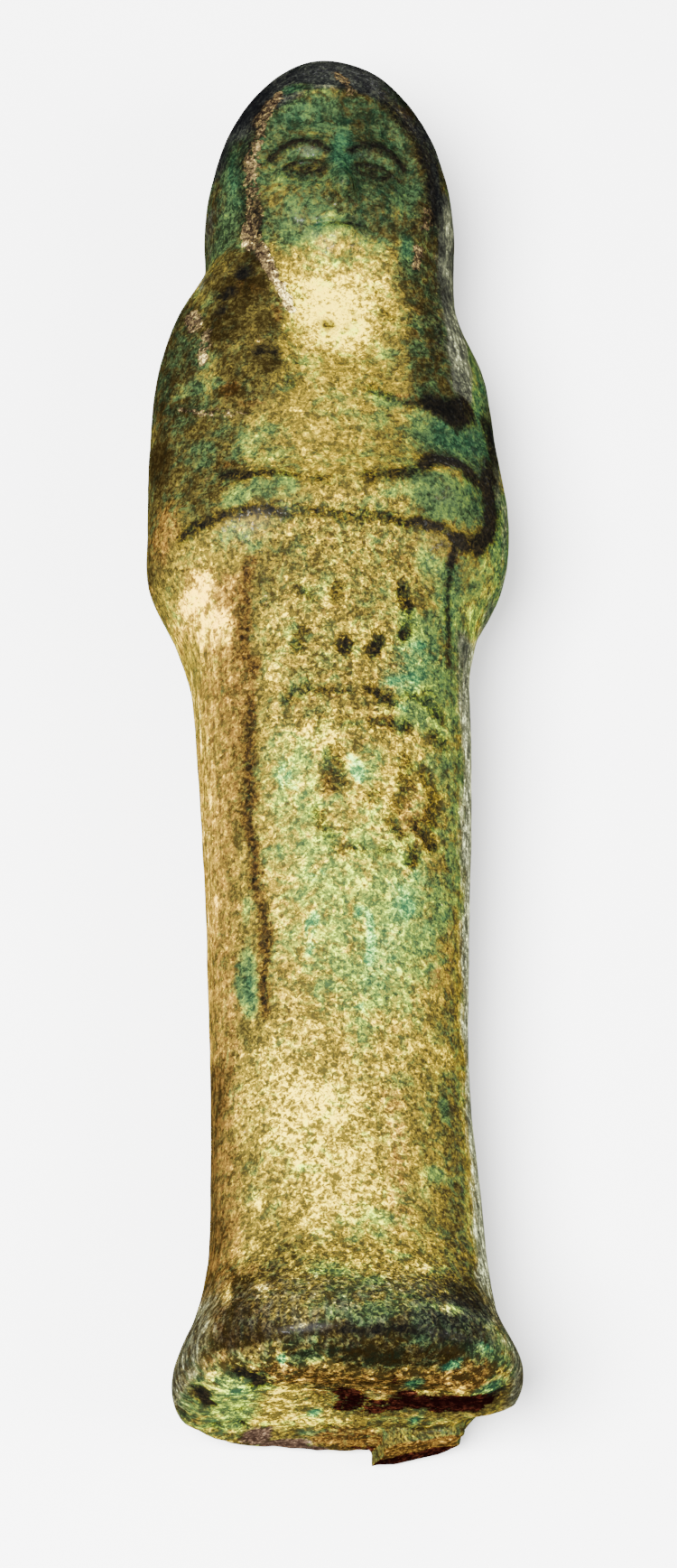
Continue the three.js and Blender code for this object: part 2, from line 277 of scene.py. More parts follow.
# Each row: its height, then its strokes as [across, rise, lean, half width, load].
SIGN_ROWS = [
    (57.6, [[-3.0, -0.7, 1.2, 0.40, 0.56], [-0.9, 0.9, 0.2, 0.38, 0.62], [4.3, -1.4, 0.4, 0.44, 0.74]]),
    (55.3, [[4.4, 0.5, 0.2, 0.52, 0.90]]),
    (53.9, [[-3.4, 1.4, 0.4, 0.44, 0.66], [-0.2, 0.3, 0.4, 0.54, 0.88], [1.7, 0.9, 0.6, 0.46, 0.88]]),
    (50.2, [[-3.5, 0.6, 1.2, 0.34, 0.60], [-1.0, -0.2, 2.6, 0.26, 0.60], [2.2, -1.0, 1.8, 0.40, 0.78],
            [4.9, -0.1, 1.6, 0.32, 0.66], [6.1, -1.4, 0.9, 0.40, 0.64]]),
    (47.9, [[-1.6, 0.9, 0.2, 0.26, 0.42], [0.2, -0.5, 1.4, 0.24, 0.48], [3.0, 0.3, 2.4, 0.34, 0.70],
            [6.5, -0.6, 0.9, 0.36, 0.62]]),
    (44.6, [[-0.9, 2.4, 0.1, 0.60, 0.54], [4.2, 2.2, 0.2, 0.50, 0.56], [5.6, -1.4, 0.8, 0.40, 0.58]]),
    (42.4, [[1.9, 0.5, 0.8, 0.36, 0.50], [3.7, 1.1, 0.3, 0.44, 0.60], [6.0, 1.6, 0.2, 0.50, 0.66]]),
    (40.4, [[-1.5, -1.6, 0.9, 0.44, 0.56], [3.5, -0.8, 0.7, 0.44, 0.60], [5.5, -1.2, 0.8, 0.50, 0.70]]),
    (38.6, [[0.2, 0.1, 1.8, 0.38, 0.54], [2.4, 0.3, 0.8, 0.30, 0.46], [4.7, 0.8, 0.3, 0.50, 0.74]]),
]
SIGN_DEPTH = 0.08
sign_rims = np.zeros(count)  # the rubbed edges of the strokes
for route, half_width, load in PANEL_FRAME:
    brush(front, route, half_width * 0.6, load)
for level, signs in SIGN_ROWS:
    for place, height, lean, half_width, load in signs:
        route = [[place - lean / 2, level - height / 2], [place + lean / 2, level + height / 2]]
        brush(front, route, half_width, load)
        depth = front.inside(route, half_width)
        lift -= SIGN_DEPTH * load * rise(depth, -0.25, 0.15)
        sign_rims += load * (rise(depth, -0.9, -0.4) - rise(depth, -0.3, 0.1))
washes(front, "tone", [
    ([[-0.5, 27], [0, 47]], 5.4, 1.2, 0.66),
    ([[0, 50], [0, 60]], 5.2, 1.4, 0.52),
    ([[-3.6, 50.2], [6.4, 49.2]], 1.3, 0.8, 0.44),
    ([[6.6, 28], [6.6, 37]], 0.9, 0.8, 0.50),
    ([[6.9, 38], [6.9, 56]], 1.2, 0.9, 0.45),
])
washes(front, "tone", [(route, half_width * 0.7, 0.5, 0.34) for route, half_width, load in PANEL_FRAME])
dabs(front, "tone", [
    [4.9, 42.0, 2.2, 4.4, 0.50], [-0.8, 43.6, 1.2, 2.6, 0.52], [1.2, 38.8, 2.6, 0.9, 0.52],
    [-2.2, 46.6, 2.6, 1.4, 0.80], [-4.0, 44.4, 1.5, 2.2, 0.74], [0.4, 44.4, 0.9, 1.7, 0.80],
    [-1.0, 43.6, 0.9, 2.0, 0.48], [1.6, 41.0, 1.0, 1.8, 0.72], [2.6, 44.6, 1.0, 1.8, 0.70],
    [4.6, 43.0, 1.7, 2.4, 0.50], [4.8, 40.4, 1.8, 1.6, 0.42], [-4.4, 40.6, 1.4, 2.2, 0.68],
    [-2.4, 36.8, 2.6, 1.4, 0.76], [0.4, 36.2, 1.8, 1.2, 0.74], [-0.4, 38.8, 1.4, 0.8, 0.52],
    [-3.0, 32.6, 1.0, 2.4, 0.76], [1.3, 32.8, 0.8, 3.0, 0.76], [3.2, 35.4, 1.8, 2.2, 0.70],
    [4.6, 31.6, 1.2, 1.8, 0.62], [5.6, 28.4, 1.4, 1.0, 0.66], [2.4, 28.6, 1.8, 1.2, 0.58],
    [-4.6, 29.6, 1.0, 2.6, 0.56], [-6.9, 29.6, 0.8, 3.0, 0.42], [-7.0, 27.5, 0.5, 0.7, 0.64],
    [-5.2, 51.4, 1.0, 1.6, 0.68], [-4.8, 55.8, 1.6, 1.8, 0.62], [-2.0, 57.0, 1.0, 0.8, 0.72],
    [-2.0, 55.6, 1.4, 0.8, 0.64], [1.2, 52.4, 1.6, 1.4, 0.50], [-4.6, 61.0, 1.8, 1.0, 0.44],
    [-5.4, 59.2, 1.0, 1.4, 0.44], [5.7, 61.0, 0.9, 1.2, 0.64], [3.7, 61.0, 1.2, 1.2, 0.56],
    [5.4, 57.4, 1.6, 2.0, 0.40], [4.0, 58.6, 1.4, 1.4, 0.44], [-6.9, 55.0, 1.0, 4.6, 0.42],
    [-6.0, 57.6, 1.2, 1.8, 0.42], [8.4, 60.0, 1.0, 1.6, 0.34], [-4.6, 26.6, 1.2, 1.6, 0.58],
    [-7.4, 44.6, 0.7, 6.0, 0.44], [6.0, 46.0, 0.9, 1.4, 0.46], [1.0, 60.6, 2.6, 1.2, 0.60],
])
washes(front, "green", [
    ([[0.9, 30.5], [0.9, 37]], 4.6, 1.8, 0.66),
    ([[-3.8, 39], [-3.6, 46]], 1.8, 1.0, 0.62),
    ([[0.8, 40], [0.8, 46]], 1.6, 1.0, 0.45),
    ([[4.8, 50], [5.4, 54.6]], 2.2, 1.2, 0.85),
    ([[-3, 52.6], [2, 52.4]], 1.4, 1.0, 0.55),
    ([[-1, 51], [-1, 60]], 4.6, 1.2, 0.24),
])
dabs(front, "green", [
    [-6.8, 29.6, 0.9, 3.0, 1.0], [-6.8, 35.0, 0.8, 1.2, 0.70], [6.6, 35.0, 1.4, 2.4, 0.80],
    [3.4, 35.0, 2.2, 2.6, 1.0], [4.9, 32.4, 1.8, 2.2, 0.95], [5.8, 60.6, 1.0, 1.6, 0.85],
    [-4.6, 31.0, 1.0, 2.2, 0.60], [-6.6, 28.4, 0.8, 2.2, 1.0], [-3.2, 34.0, 2.2, 2.4, 0.45],
    [-2.6, 29.4, 1.6, 2.0, 0.62], [-4.4, 29.0, 1.4, 3.0, 0.10], [5.8, 28.4, 1.6, 1.2, 0.15],
    [1.8, 46.8, 2.2, 1.0, 0.15], [4.8, 42.0, 1.6, 3.2, 0.12], [-5.4, 50.6, 1.0, 2.0, 0.12],
    [6.2, 46.0, 1.0, 1.6, 0.75], [2.0, 38.6, 0.8, 0.6, 0.75],
])
tint("rust", front.wash([[0, 28], [0, 60]], 5.6, 1.0), 0.24)
washes(front, "rust", [(route, half_width, 0.5, 0.62) for route, half_width, load in PANEL_FRAME])
washes(front, "green", [(route, half_width * 0.6, 0.4, 0.05) for route, half_width, load in PANEL_FRAME])
dabs(front, "rust", [
    [-1.2, 43.8, 0.8, 1.8, 0.45], [4.7, 41.6, 1.6, 3.4, 0.55], [-2.0, 57.0, 1.2, 0.9, 0.40],
    [0.0, 50.2, 4.4, 0.8, 0.35], [6.0, 30.4, 0.7, 1.4, 0.65], [3.8, 60.8, 1.0, 1.0, 0.45],
    [-7.2, 52.0, 1.4, 8.0, 0.60], [-4.6, 29.6, 1.0, 2.4, 0.30], [2.8, 47.9, 2.2, 0.6, 0.50],
])
dabs(front, "teal", [[-6.6, 28.8, 0.8, 2.6, 0.45], [5.6, 33.0, 1.3, 1.8, 0.40]])
dabs(front, "turquoise", [
    [-4.2, 44.6, 1.4, 2.4, 0.62], [-3.5, 43.4, 0.9, 1.0, 0.70], [0.6, 44.4, 1.0, 1.6, 0.90],
    [3.2, 44.6, 0.7, 1.6, 0.45], [3.8, 51.6, 1.8, 1.2, 0.78], [5.0, 54.0, 2.0, 1.3, 0.60],
    [3.7, 49.2, 1.0, 0.6, 0.75], [6.8, 52.4, 0.9, 1.4, 0.45], [-5.0, 40.2, 1.2, 2.0, 0.42],
    [-2.0, 36.6, 1.8, 1.2, 0.55], [-2.8, 32.4, 0.9, 2.6, 0.70], [0.6, 34.2, 0.9, 0.9, 0.85],
    [1.4, 31.8, 0.7, 3.2, 0.90], [3.6, 35.2, 1.7, 2.6, 0.80], [4.6, 37.6, 0.9, 1.4, 0.60],
    [6.8, 34.8, 1.0, 1.6, 0.50], [2.4, 29.8, 2.6, 1.4, 0.50], [0.6, 26.8, 0.9, 1.1, 0.72],
    [0.2, 24.4, 1.0, 0.9, 0.42], [6.2, 45.8, 0.8, 1.0, 0.50], [5.8, 61.2, 0.9, 1.2, 0.55],
    [4.8, 31.6, 1.0, 1.6, 0.50], [6.8, 20.4, 0.5, 1.2, 0.50], [0.4, 46.0, 0.8, 0.9, 0.45],
    [2.9, 51.4, 0.9, 0.8, 1.00], [4.6, 52.0, 0.7, 0.7, 0.95], [5.4, 54.4, 0.8, 0.8, 0.85],
    [0.5, 43.8, 0.5, 0.7, 1.15], [0.2, 45.2, 0.5, 0.6, 0.95], [-4.4, 43.9, 0.7, 0.9, 0.85],
    [1.4, 33.2, 0.5, 1.0, 1.10], [1.2, 30.6, 0.5, 0.9, 1.00], [4.2, 34.6, 0.8, 0.9, 1.00],
    [2.9, 36.2, 0.6, 0.6, 0.90], [-2.7, 33.4, 0.6, 0.8, 0.90], [-2.9, 31.2, 0.5, 0.7, 0.80],
])
paint["tone"] += 0.14 * sign_rims
lift += 0.03 * sign_rims

# ---------------------------------------------------------------- the crossed arms
# Two arms in their sleeves, crossed over the waist, with a brushed line above and below them. The
# lines join in a loop at the figure's left hand and run down its side.
washes(front, "tone", [
    ([[-13, 62], [-12.6, 72]], 1.0, 1.0, 0.30),
    ([[-10.4, 66], [-9.4, 72]], 2.4, 1.0, 0.30),
    ([[-2.4, 68.0], [-1.0, 72.6]], 3.4, 1.4, 0.62),
    ([[3.4, 68.8], [4.2, 72.0]], 1.4, 1.0, 0.48),
    ([[6.8, 70.2], [9.2, 71.4]], 1.8, 1.0, 0.34),
    ([[-8.4, 65.1], [-4.0, 64.9]], 0.9, 0.6, 0.49),
    ([[-2.0, 64.8], [3.0, 65.2]], 0.9, 0.7, 0.60),
    ([[5.8, 65.4], [9.2, 65.8]], 1.3, 0.8, 0.36),
    ([[-10, 62.2], [6, 62.0]], 0.6, 0.6, 0.54),
    ([[11.9, 60.6], [12.4, 67.6]], 0.9, 0.8, 0.48),
])
# The cream patch at the figure's right hip, below the elbow, set past the palest tone, is partly worn body
# and partly a painted highlight.
dabs(front, "tone", [
    [-12.4, 70.0, 1.0, 3.4, 0.13], [-8.2, 67.6, 1.4, 1.0, 0.27], [-5.6, 69.6, 1.4, 1.6, 0.50],
    [-8.4, 71.6, 1.8, 1.2, 0.38], [1.4, 71.4, 1.6, 1.4, 0.58], [-4.2, 67.4, 1.4, 0.8, 0.50],
    [-12.0, 64.0, 1.0, 2.6, 0.50], [-11.4, 61.8, 1.4, 1.6, 0.50], [-10.0, 58.6, 1.6, 2.0, 1.12],
    [-9.0, 56.4, 1.4, 1.8, 1.06], [-8.2, 55.4, 1.0, 1.4, 0.84], [-10.0, 61.4, 1.6, 1.0, 0.56],
    [-8.2, 59.0, 1.2, 1.4, 0.60], [4.6, 66.6, 1.6, 0.7, 0.34], [9.6, 61.0, 1.2, 2.0, 0.46],
    [10.8, 61.4, 1.0, 2.0, 0.56], [8.6, 56.4, 1.0, 3.4, 0.46], [10.0, 69.6, 1.2, 1.2, 0.28],
    [4.3, 72.2, 0.6, 0.6, 0.66], [11.6, 70.0, 1.2, 4.0, 0.40], [-6.6, 71.6, 1.6, 0.8, 0.52],
])
washes(front, "green", [
    ([[-9.6, 69.0], [-5.2, 69.6]], 1.8, 1.0, 0.48),
    ([[-8.0, 65.0], [-4.2, 64.9]], 0.9, 0.6, 0.72),
    ([[5.6, 65.4], [9.4, 65.8]], 1.6, 0.8, 0.92),
    ([[6.6, 71.2], [9.6, 70.6]], 2.0, 1.2, 0.92),
    ([[12.0, 58.6], [12.4, 68.0]], 1.2, 0.8, 0.82),
    ([[8.9, 55.0], [10.4, 61.0]], 1.4, 0.9, 0.62),
])
dabs(front, "green", [
    [-7.4, 62.0, 3.2, 1.0, 0.62], [-11.2, 65.6, 0.9, 2.4, 0.25], [3.4, 65.3, 1.8, 0.9, 0.60],
    [1.6, 71.6, 1.8, 1.4, 0.55], [7.8, 58.6, 1.7, 3.2, 0.90], [2.2, 61.8, 2.6, 0.8, 0.40],
    [-2.6, 70.4, 2.6, 2.6, 0.14], [-9.2, 58.0, 2.4, 4.0, -0.15], [-12.2, 62.4, 1.8, 2.8, -0.10],
])
washes(front, "teal", [
    ([[7.4, 71.0], [9.8, 71.2]], 1.6, 1.2, 0.62),
    ([[12.3, 59.6], [12.6, 68.0]], 0.8, 0.8, 0.50),
    ([[10.4, 72.0], [10.8, 78.0]], 0.7, 0.8, 0.60),
    ([[3.6, 51.8], [5.6, 53.6]], 1.5, 1.0, 0.55),
    ([[5.0, 36.8], [3.6, 33.6], [1.6, 29.0]], 1.1, 0.8, 0.46),
    ([[8.6, 68.6], [11.4, 65.0]], 1.2, 0.9, 0.42),
    ([[7.6, 56], [8.0, 61]], 0.9, 0.9, 0.36),
])
dabs(front, "turquoise", [
    [7.8, 70.8, 2.2, 1.8, 0.42], [9.2, 66.0, 1.2, 1.2, 0.45], [9.8, 71.2, 1.0, 1.4, 0.45],
    [6.0, 66.2, 1.2, 0.9, 0.38], [-6.0, 68.8, 0.8, 0.8, 0.38], [12.4, 64.4, 0.8, 3.0, 0.45],
])
dabs(front, "rust", [
    [-11.8, 69.8, 1.4, 3.4, 0.22], [-8.2, 67.8, 1.4, 1.4, 0.45], [-12.2, 64.0, 1.6, 4.0, 0.62],
    [-8.0, 58.0, 1.2, 2.6, 0.65], [-10.2, 58.6, 2.0, 3.4, 0.62], [-4.8, 67.0, 1.4, 0.6, 0.35],
    [8.2, 62.2, 0.8, 1.0, 0.40],
])
# The grey film along the outer edge of the figure's left arm and elbow is partly a painted sheen.
washes(front, "film", [
    ([[11.6, 67.4], [11.8, 74.0]], 0.7, 0.7, 0.60),
    ([[12.4, 62.0], [12.6, 68.0]], 0.5, 0.5, 0.55),
    ([[10.4, 55.0], [12.2, 60.0]], 1.2, 0.8, 0.62),
])
brush(front, [[-8.2, 66.8], [-7.0, 66.5], [-5.2, 66.4]], 0.40, 0.86)
brush(front, [[-5.2, 66.4], [-3.4, 66.0], [-1.6, 65.9]], 0.32, 0.72)
brush(front, [[1.4, 66.0], [3.4, 66.6], [4.6, 67.1], [5.6, 67.5]], 0.44, 0.76)
brush(front, [[5.4, 67.5], [6.4, 68.5], [8.2, 68.8], [9.4, 68.4]], 0.62, 0.92)
brush(front, [[9.0, 68.4], [10.4, 68.0], [11.2, 69.4]], 0.70, 0.90)
brush(front, [[10.6, 68.2], [11.0, 66.2], [10.7, 64.2], [9.8, 63.1]], 0.72, 0.98)
brush(front, [[-11.0, 62.6], [-9.8, 63.4], [-7.0, 63.6], [-4.0, 63.3]], 0.38, 0.86)
brush(front, [[-4.0, 63.3], [0.0, 63.4], [4.6, 63.2]], 0.32, 0.74)
brush(front, [[4.6, 63.2], [6.2, 63.4], [8.2, 63.0], [9.8, 63.1]], 0.42, 0.90)
brush(front, [[8.2, 62.9], [8.5, 62.6]], 0.62, 1.0)
brush(front, [[11.3, 74.6], [11.7, 72.5], [11.2, 70.4]], 0.60, 0.80)

# ---------------------------------------------------------------- the wig
# The tripartite wig, in a blue-black glaze gone olive and brown, with two lappets in front. Clay and
# burial crust fill the groove between its border and the face.
FACE_CENTRE = 91.9
FACE_HALF_HEIGHT = 7.0
FACE_HALF_WIDTH = 6.1
FACE_NARROWING = 0.16


def face_reach(first, second):
    """How far out of the face's oval a point is: 1 on its outline."""
    share = (second - FACE_CENTRE) / FACE_HALF_HEIGHT
    return np.hypot(first / (FACE_HALF_WIDTH * (1 + FACE_NARROWING * share)), share)


reach = face_reach(across + 0.25 * grain(1.6, 21), up + 0.25 * grain(1.6, 22))
hair = rise(reach, 0.88, 0.96) * rise(up, 86.0, 88.5)
tint("tone", hair, 0.24)
tint("green", hair, 0.45)
tint("dark", hair * rise(-up, -99, -93) * rise(above, 0, 6), 0.28)
tint("dark", hair * rise(reach, 1.0, 1.14) * rise(up, 93, 98), 0.80)
washes(front, "tone", [
    ([[-7.0, 84.5], [-6.6, 74.4]], 2.3, 0.7, 0.30),
    ([[6.5, 85.0], [7.0, 75.0]], 2.2, 0.8, 0.26),
    ([[-11.2, 83], [-11.6, 74]], 1.6, 0.9, 0.22),
    ([[10.9, 83], [11.4, 75]], 1.2, 0.9, 0.40),
])
# The last touches, pale along the wig's outer edge on the figure's left, are partly a painted sheen on that
# grazing edge.
dabs(front, "tone", [
    [-6.8, 83.0, 2.2, 2.2, 0.12], [-8.6, 79.6, 1.6, 3.0, 0.17], [-6.2, 85.6, 1.2, 1.4, 0.16],
    [-6.8, 77.4, 2.0, 2.0, 0.34], [-8.0, 74.2, 1.2, 0.9, 0.22], [-5.0, 75.8, 0.7, 1.4, 0.24],
    [-6.6, 72.9, 1.6, 0.7, 0.38], [-4.4, 80.6, 0.7, 2.2, 0.26], [7.9, 73.5, 1.5, 1.1, 0.07],
    [5.2, 82.0, 0.9, 2.4, 0.36], [5.4, 78.6, 0.9, 2.4, 0.30], [7.1, 80.6, 0.8, 4.0, 0.22],
    [5.6, 73.8, 1.6, 0.6, 0.20], [-12.0, 75.4, 0.9, 4.0, 0.16], [-11.0, 75.6, 0.9, 1.4, 0.38],
    [12.0, 74.2, 0.8, 2.2, 0.18], [10.4, 73.0, 0.8, 2.6, 0.36], [-7.6, 91.0, 0.9, 3.6, 0.33],
    [-8.0, 97.0, 0.9, 3.0, 0.14], [-3.6, 101.2, 2.8, 1.4, 0.16], [-6.2, 100.2, 2.0, 3.0, 0.09],
    [3.0, 100.2, 2.4, 1.8, 0.23], [5.6, 100.6, 1.8, 2.6, 0.13], [7.2, 92.0, 0.9, 4.0, 0.18],
    [-7.4, 87.2, 1.2, 1.4, 0.27], [-0.6, 99.6, 1.0, 0.4, 0.55], [8.9, 80.0, 1.2, 7.0, 0.60],
    [8.8, 90.0, 1.0, 4.0, 0.60],
])
washes(front, "green", [
    ([[-6.8, 84], [-6.6, 74]], 2.3, 0.8, 0.12),
    ([[6.6, 85], [7.0, 75]], 2.2, 0.8, 0.48),
    ([[-11.2, 82], [-11.0, 74]], 1.6, 0.9, 0.52),
    ([[10.9, 82], [10.8, 73]], 1.2, 0.9, 0.80),
    ([[-7.4, 97], [-7.6, 88]], 0.8, 0.7, 0.92),
    ([[-5.4, 96], [-5.6, 87]], 0.8, 0.7, 0.80),
])
dabs(front, "green", [
    [-3.0, 99.7, 1.8, 1.0, 1.0], [5.2, 101.2, 2.0, 2.4, 0.90], [-6.8, 82.6, 2.2, 2.2, 0.02],
    [-5.4, 101.4, 1.4, 0.9, 0.6], [10.4, 73.2, 0.9, 2.4, 1.0],
])
dabs(front, "dark", [
    [-3.0, 99.7, 1.7, 0.9, 0.10], [-7.4, 93.4, 0.8, 3.6, 0.05], [-8.2, 96.8, 0.8, 3.0, 0.70],
    [5.0, 99.6, 2.2, 2.6, 0.40], [7.4, 92.6, 0.9, 4.4, 0.80], [7.9, 73.6, 1.4, 1.1, 0.95],
    [11.9, 73.6, 0.7, 2.0, 0.75], [-6.9, 84.0, 1.6, 1.6, 0.35], [7.2, 80.0, 0.8, 4.0, 0.35],
])
dabs(front, "rust", [
    [-8.2, 74.3, 1.2, 1.0, 0.85], [-6.8, 73.0, 1.6, 0.8, 0.50], [-6.6, 78.0, 2.2, 3.2, 0.22],
    [5.6, 80.4, 0.9, 4.0, 0.45], [-4.6, 80.8, 0.7, 2.4, 0.50], [4.4, 74.0, 1.8, 0.6, 0.70],
    [5.4, 98.0, 1.0, 1.6, 0.55], [-6.8, 83.2, 2.0, 2.0, 0.45], [-12.2, 75.0, 1.0, 3.0, 0.40],
])
# The grey film along the wig's outer edge on the figure's left, and over the top of the crown, is partly a
# painted sheen on these grazing edges.
washes(front, "film", [
    ([[9.0, 76.0], [8.7, 92.0]], 1.0, 0.7, 1.0),
    ([[11.0, 82.0], [11.8, 76.0]], 0.8, 0.8, 0.45),
    ([[-8.9, 92.0], [-9.2, 84.6]], 0.4, 0.6, 0.60),
    ([[-2.4, 103.6], [3.4, 103.4]], 0.7, 0.8, 0.50),
])
brush(front, [[1.8, 74.3], [3.2, 74.0], [4.8, 73.6], [6.4, 73.2]], 0.34, 0.62)
brush(front, [[6.8, 73.6], [8.2, 73.2], [9.0, 74.2]], 1.10, 0.92)
brush(front, [[3.6, 98.6], [5.9, 96.2], [6.9, 93.4], [7.2, 91.0], [7.0, 89.8]], 0.40, 0.70)
brush(front, [[-6.3, 90.4], [-5.9, 88.4], [-5.6, 86.8]], 0.18, 0.75)
# A dark line beside the crust ridge, on its outer side, is a painted shadow of the ridge.
brush(front, [[-5.4, 98.6], [-6.5, 95.6], [-7.1, 92.0], [-7.0, 89.4]], 0.26, 0.60)
paint["streak"] += rise(across, 7.4, 8.6) * rise(up, 76, 79) * (1 - rise(up, 90, 94)) * front.shows

# The crust in the groove beside the face: a rough ridge of pale grains.
CRUST_LINES = [
    ([[-4.4, 99.2], [-5.4, 97.6], [-5.9, 95.0], [-6.4, 92.0], [-6.3, 89.0]], 0.50, 0.62),
    ([[-6.3, 89.0], [-6.0, 87.0], [-5.4, 85.8]], 0.50, 0.76),
    ([[-5.5, 85.9], [-4.8, 84.4], [-4.0, 82.4], [-3.7, 81.0]], 0.42, 0.90),
    ([[0.3, 101.4], [0.6, 100.2], [0.9, 99.0]], 0.34, 0.62),
    ([[6.7, 90.2], [6.5, 89.0]], 0.42, 0.66),
    ([[6.2, 87.0], [6.0, 85.4]], 0.36, 0.80),
    ([[-10.2, 82.2], [-10.0, 80.8]], 0.55, 0.70),
    ([[-9.4, 79.6], [-9.8, 77.2]], 0.40, 0.56),
    ([[-11.2, 73.8], [-9.4, 72.7], [-7.0, 72.0]], 0.20, 0.58),
]
for route, half_width, amount in CRUST_LINES:
    within = rise(front.inside(route, half_width), -0.35, 0.25)
    paint["crust"] = np.maximum(paint["crust"], amount * within)
    lift += 0.10 * amount * within * (1 + grain(0.6, 23))
# Small holes where the glaze boiled and chipped.
for place, level, radius in [[-6.9, 84.4, 0.6], [-8.2, 82.4, 0.45], [-8.5, 81.0, 0.3], [-5.8, 77.0, 0.3]]:
    brush(front, [[place - 0.1, level], [place + 0.1, level + 0.2]], radius, 0.95)
    lift -= 0.12 * front.dab(place, level, radius * 1.5, radius * 1.5)

# ---------------------------------------------------------------- the face
# A calm, regular face, pressed in the mould in thirds and fifths. The lids, lips and nostrils were
# sharpened by hand in the wet paste, and the brows and the eyes' outlines were brushed on.
THIRD = 4.467
FIFTH = 2.44
CHIN_LINE = 85.2
EYE_LEVEL = 92.6
EYE_REACH = 1.4
EYE_RISE = 0.62
LIP_PARTING = CHIN_LINE + 0.6 * THIRD
NOSE_BASE = CHIN_LINE + THIRD
in_face = (1 - rise(reach, 0.96, 1.06)) * front.shows
from_middle = np.abs(across)
features = Side(from_middle, up, in_face)
features.first = from_middle + 0.05 * grain(0.8, 31)
features.second = up + 0.05 * grain(0.8, 32)

almond = []
for turn in np.linspace(0, 2 * math.pi, 25):
    bulge = math.sin(turn) * abs(math.sin(turn)) ** 0.3
    almond.append([FIFTH + EYE_REACH * math.cos(turn), EYE_LEVEL + EYE_RISE * bulge])
upper_lid = [corner for corner in almond if corner[1] >= EYE_LEVEL - 0.01]
lid_fold = [[first, second + 0.42] for first, second in upper_lid]
brow = [[0.8, 94.0], [1.8, 94.75], [3.0, 94.95], [4.1, 94.45], [4.9, 93.6]]
mouth = [[0, LIP_PARTING], [1.0, LIP_PARTING + 0.08], [1.75, LIP_PARTING - 0.02]]
lift += 0.16 * rise(features.inside(almond, 0.22), -0.12, 0.18) * in_face
lift += 0.07 * rise(features.inside(upper_lid, 0.28), -0.12, 0.2) * in_face
lift -= 0.06 * rise(features.inside(lid_fold, 0.12), -0.2, 0.12) * in_face
lift += 0.05 * rise(features.inside(brow, 0.35), -0.3, 0.3) * in_face
lift -= 0.22 * features.dab(0.62, NOSE_BASE + 0.05, 0.42, 0.34)
lift -= 0.10 * features.dab(1.25, NOSE_BASE + 0.5, 0.4, 0.9)
lift -= 0.16 * rise(features.inside(mouth, 0.10), -0.24, 0.1) * in_face
lift -= 0.07 * features.dab(0, NOSE_BASE - 0.75, 0.4, 0.7)
lift -= 0.08 * features.dab(2.15, LIP_PARTING, 0.5, 0.5)
brush(features, brow, 0.32, 0.90)
brush(features, almond, 0.18, 0.95)
brush(features, [[FIFTH + EYE_REACH, EYE_LEVEL], [FIFTH + EYE_REACH + 0.9, EYE_LEVEL - 0.12]], 0.16, 0.65)
brush(features, [[FIFTH - 0.02, EYE_LEVEL], [FIFTH + 0.02, EYE_LEVEL]], 0.40, 0.75)
brush(features, [[0, LIP_PARTING], [1.7, LIP_PARTING - 0.02]], 0.14, 0.72)
brush(features, [[0.58, NOSE_BASE], [0.66, NOSE_BASE]], 0.16, 0.72)

# Olive on its right half, darker on its left, partly as painted shade on the side away from the key lamp;
# teal down the middle, rubbed pale at the chin.
tint("tone", in_face, 0.36 - 0.08 * rise(front.first, -1.5, 2.0) - 0.05 * rise(up, 94, 98))
tint("green", in_face, 0.60 + 0.15 * grain(3, 33))
tint("dark", in_face, 0.04 + 0.12 * rise(front.first, -0.5, 2.5))
dabs(front, "tone", [
    [-4.6, 90.6, 1.6, 3.4, 0.46], [-0.8, 86.4, 2.8, 1.4, 0.66], [2.4, 86.2, 2.0, 1.2, 0.56],
    [-3.6, 86.8, 1.0, 1.4, 0.44], [5.2, 87.0, 0.8, 1.6, 0.32], [-1.6, 98.9, 1.8, 0.5, 0.48],
    [4.6, 97.8, 1.8, 1.4, 0.27], [-1.0, 88.0, 1.8, 0.6, 0.56], [4.6, 89.6, 1.4, 1.2, 0.36],
    [0.4, 93.6, 0.8, 2.8, 0.36],
])
dabs(front, "green", [
    [0.4, 93.4, 1.2, 4.0, 1.0], [-1.4, 87.8, 2.0, 0.9, 0.85], [5.2, 86.8, 0.9, 1.6, 1.0],
    [-3.6, 87.0, 1.2, 1.4, 0.85], [-2.6, 97.4, 2.4, 1.4, 0.90], [1.0, 85.8, 3.4, 0.9, 0.25],
    [-5.2, 90.0, 1.0, 3.0, 0.40],
])
tint("teal", in_face * rise(up, 86.5, 89), 0.32 + 0.1 * grain(2.4, 34))
dabs(front, "teal", [
    [0.4, 93.4, 1.3, 4.0, 0.85], [-2.6, 97.4, 2.4, 1.4, 0.45], [-3.4, 99.6, 1.6, 0.9, 0.60],
    [-7.4, 93.0, 0.9, 4.0, 0.60], [5.2, 86.8, 0.9, 1.5, 0.60], [-4.8, 90.0, 1.4, 3.0, 0.15],
])
dabs(front, "turquoise", [
    [0.3, 94.6, 0.7, 3.0, 0.62], [0.2, 91.2, 0.9, 1.4, 0.42], [-2.4, 90.6, 0.9, 0.9, 0.42],
    [-1.4, 87.9, 1.8, 0.7, 0.62], [5.2, 86.8, 0.7, 1.2, 0.36], [-3.2, 86.8, 0.7, 1.0, 0.48],
])
